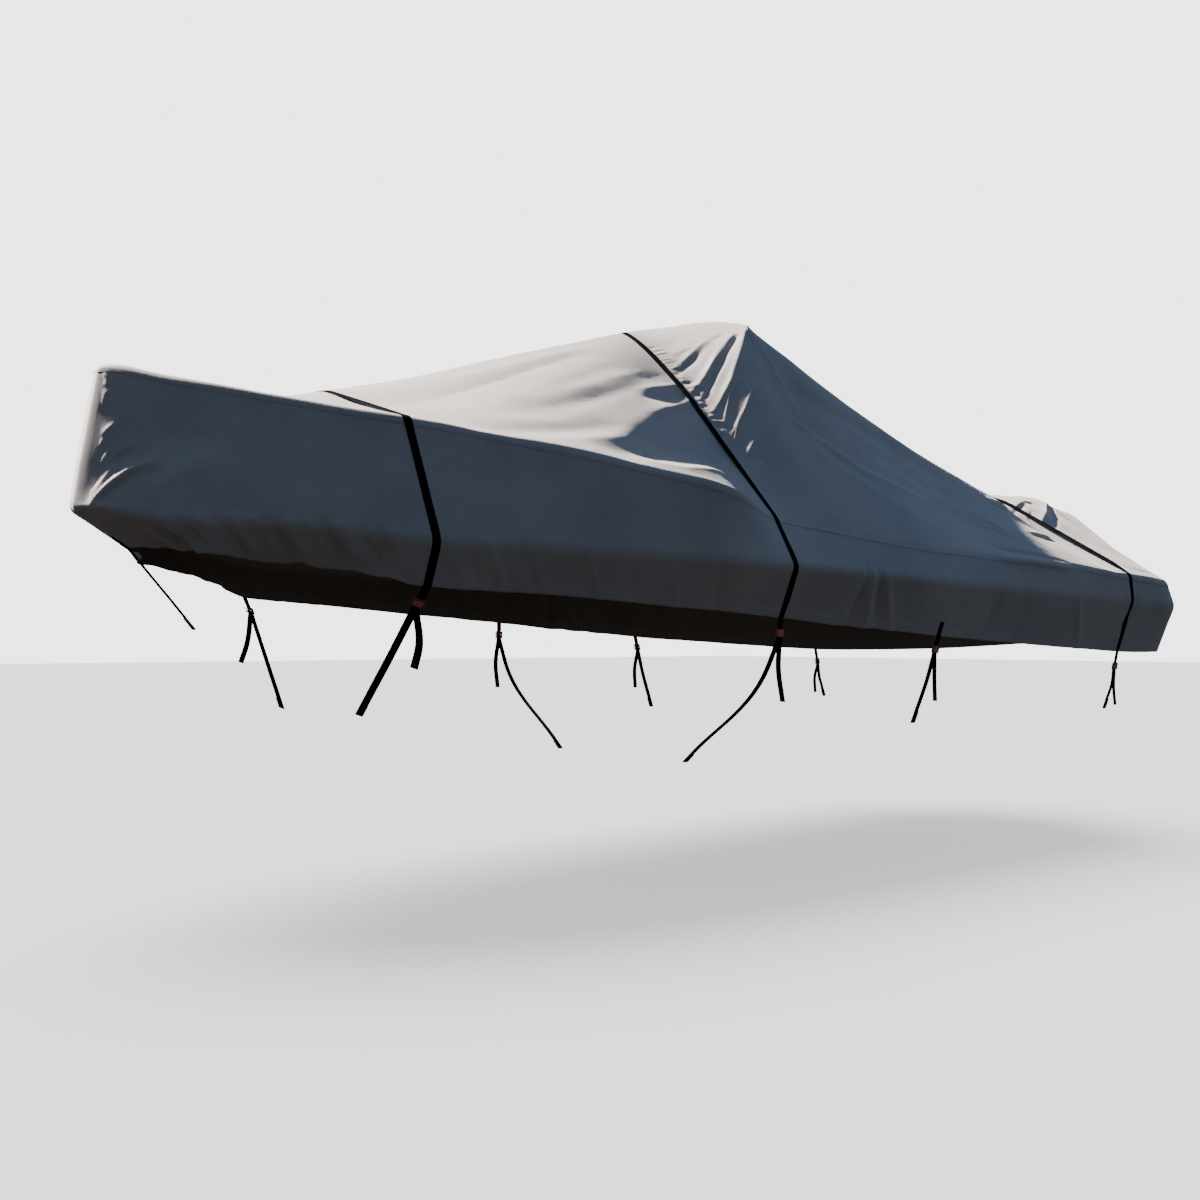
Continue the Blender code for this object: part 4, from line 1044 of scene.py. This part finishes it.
# ---- Cam buckles ----
# Moulded dull red plastic: two cheeks joined by plates and a bar, and a ridged thumb lever
# that pivots between them and bites on the lower webbing. They stay shut, as shown.
BUCKLE_PARTS = {
    # low corner and high corner in mm: across, down and outwards; then the edge's rounding
    "port cheek": ((-21.0, -18.0, -5.2), (-17.2, 18.0, 5.8), 1.3),
    "starboard cheek": ((17.2, -18.0, -5.2), (21.0, 18.0, 5.8), 1.3),
    "back plate": ((-18.0, -17.0, -5.0), (18.0, -1.5, -2.4), 0.8),
    "front plate": ((-18.0, -17.0, 1.0), (18.0, -11.5, 3.8), 0.9),
    "cam bar": ((-18.0, 4.4, -1.2), (18.0, 6.8, 1.2), 0.9),
    "foot bar": ((-18.0, 14.2, -6.0), (18.0, 17.4, -4.2), 0.7),
    "lever": ((-16.4, -10.6, 3.9), (16.4, 9.6, 7.4), 1.6),
    "lever lip": ((-14.5, 8.4, 4.6), (14.5, 14.6, 6.9), 1.1),
    **{f"ridge {i}": ((-13.0, 3.6 * i - 6.6, 7.0), (13.0, 3.6 * i - 5.0, 8.2), 0.5) for i in range(4)},
    "port pivot": ((-22.3, -9.8, 2.2), (-20.4, -6.2, 5.8), 0.8),
    "starboard pivot": ((20.4, -9.8, 2.2), (22.3, -6.2, 5.8), 0.8),
}
# The most an edge may be rounded, as a share of the block's least side
MOST_ROUNDING = 0.45


def buckle_finish(name, dark, light):
    """Moulded plastic, a little scuffed, between a dark and a light shade."""
    made, tree, shader = finish(name, dark, 0.42)
    scuffs = mottle(tree, node(tree, "TexCoord").outputs, scale=160.0, detail=5.0)
    feed(tree, shader, {
        "Base Color": shaded(tree, scuffs, 0.32, 0.78, dark, light),
        "Normal": bumped(tree, scuffs, strength=0.15, distance=0.0002),
    })
    return made


LEVER_RED = buckle_finish("red moulded plastic", (0.22, 0.040, 0.045), (0.36, 0.10, 0.10))
FRAME_RED = buckle_finish("dark red moulded plastic", (0.10, 0.026, 0.030), (0.17, 0.055, 0.058))


def buckle_shape():
    """One buckle in its own axes: each part a block with rounded edges."""
    shape = bmesh.new()
    for part_name, (low, high, rounding) in BUCKLE_PARTS.items():
        low, high = np.array(low) / 1000, np.array(high) / 1000
        block = bmesh.new()
        bmesh.ops.create_cube(block, size=1.0)
        for vertex in block.verts:
            vertex.co = Vector((np.array(vertex.co) + 0.5) * (high - low) + low)
        rounding = min(rounding / 1000, (high - low).min() * MOST_ROUNDING)
        bmesh.ops.bevel(
            block, geom=block.edges[:] + block.verts[:], offset=rounding,
            segments=3, affect="EDGES", profile=0.5,
        )
        for face in block.faces:
            face.material_index = int("lever" in part_name or "ridge" in part_name)
        part = bpy.data.meshes.new("block")
        block.to_mesh(part)
        block.free()
        shape.from_mesh(part)
        bpy.data.meshes.remove(part)
    return shape


for side_name, side in HANDS:
    for name in DROPS:
        middle, across, down, out = buckle_frame(name, side)
        shape = buckle_shape()
        turn = Matrix((across, down, out)).transposed().to_4x4()
        shape.transform(Matrix.Translation(Vector(middle)) @ turn)
        mesh = bpy.data.meshes.new(f"buckle_{side_name}")
        shape.to_mesh(mesh)
        shape.free()
        buckle = add_piece(f"cam_buckle_{PIECE_NAMES[name]}_{side_name}", mesh, FRAME_RED)
        mesh.materials.append(LEVER_RED)
        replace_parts(buckle, f"buckle_{PIECE_NAMES[name]}_{side_name}")

# ---- Floor, light and camera ----
# A plain pale studio. A hard-edged warm key light comes from starboard and ahead, low over
# the deck, so that folds show; a wide soft light above is for the floor alone.
FLOOR = -CROWN[2]
REACH = 60.0


def mixed(tree, for_all, for_camera):
    """One shader for all light, and another where the camera looks straight at it."""
    straight = node(tree, "LightPath").outputs["Is Camera Ray"]
    return node(tree, "MixShader", {"Fac": straight, 1: for_all, 2: for_camera}).outputs["Shader"]


floor_mesh = bpy.data.meshes.new("floor")
floor_mesh.from_pydata(
    [(-REACH, -REACH, FLOOR), (REACH, -REACH, FLOOR), (REACH, REACH, FLOOR), (-REACH, REACH, FLOOR)],
    [], [(0, 1, 2, 3)],
)
floor = bpy.data.objects.new("floor", floor_mesh)
bpy.context.scene.collection.objects.link(floor)
pale, tree, shader = finish("pale floor", (0.80, 0.80, 0.80), 0.9)
floor_mesh.materials.append(pale)
even = node(tree, "Emission", {"Color": (1, 1, 1, 1), "Strength": 1.6}).outputs["Emission"]
softened = node(tree, "MixShader", {"Fac": 0.5, 1: shader.outputs["BSDF"], 2: even}).outputs["Shader"]
glow = node(tree, "Emission", {"Color": (0.150, 0.128, 0.104, 1)}).outputs["Emission"]
feed(tree, tree.nodes["Material Output"], {"Surface": mixed(tree, glow, softened)})

world = bpy.data.worlds.new("studio")
bpy.context.scene.world = world
world.use_nodes = True
air = world.node_tree
backdrop = air.nodes["Background"]
feed(air, backdrop, {"Color": (1.0, 1.0, 1.0, 1), "Strength": 3.5})
direction = node(air, "TexCoord").outputs["Generated"]
up = node(air, "SeparateXYZ", {"Vector": direction}).outputs["Z"]
sky = shaded(air, up, 0.0, 0.7, (0.27, 0.34, 0.43), (0.31, 0.47, 0.76))
soft = node(air, "Background", {"Color": sky}).outputs["Background"]
seen = mixed(air, soft, backdrop.outputs["Background"])
feed(air, air.nodes["World Output"], {"Surface": seen})


def lamp(name, kind, energy, colour, place, towards_light):
    data = bpy.data.lights.new(name, kind)
    data.energy = energy
    data.color = colour
    made = bpy.data.objects.new(name, data)
    made.location = place
    made.rotation_euler = Vector(towards_light).to_track_quat("Z", "Y").to_euler()
    bpy.context.scene.collection.objects.link(made)
    return made


key = lamp("key", "SUN", 54.0, (1.0, 0.87, 0.76), (2, -4, 4), (0.42, -0.70, 0.66))
key.data.angle = math.radians(2.5)
lit_by_key = bpy.data.collections.new("lit by the key")
for item in bpy.context.scene.collection.objects:
    if item.type == "MESH" and item.name != "floor":
        lit_by_key.objects.link(item)
key.light_linking.receiver_collection = lit_by_key
overhead = lamp("overhead", "SUN", 9.0, (1.0, 0.96, 0.90), (0.5, 0.5, 6.0), (0.1, -0.15, 1))
overhead.data.angle = math.radians(50)
only_floor = bpy.data.collections.new("lit from above")
only_floor.objects.link(floor)
overhead.light_linking.receiver_collection = only_floor

camera = bpy.data.cameras.new("camera")
camera.sensor_width = 36.0
camera.lens = 37.5
camera.shift_y = 0.0333
view = bpy.data.objects.new("camera", camera)
view.location = (4.39, 4.516, -1.59)
view.rotation_euler = Vector((-0.633, -0.774, 0.0)).to_track_quat("-Z", "Y").to_euler()
bpy.context.scene.collection.objects.link(view)
bpy.context.scene.camera = view
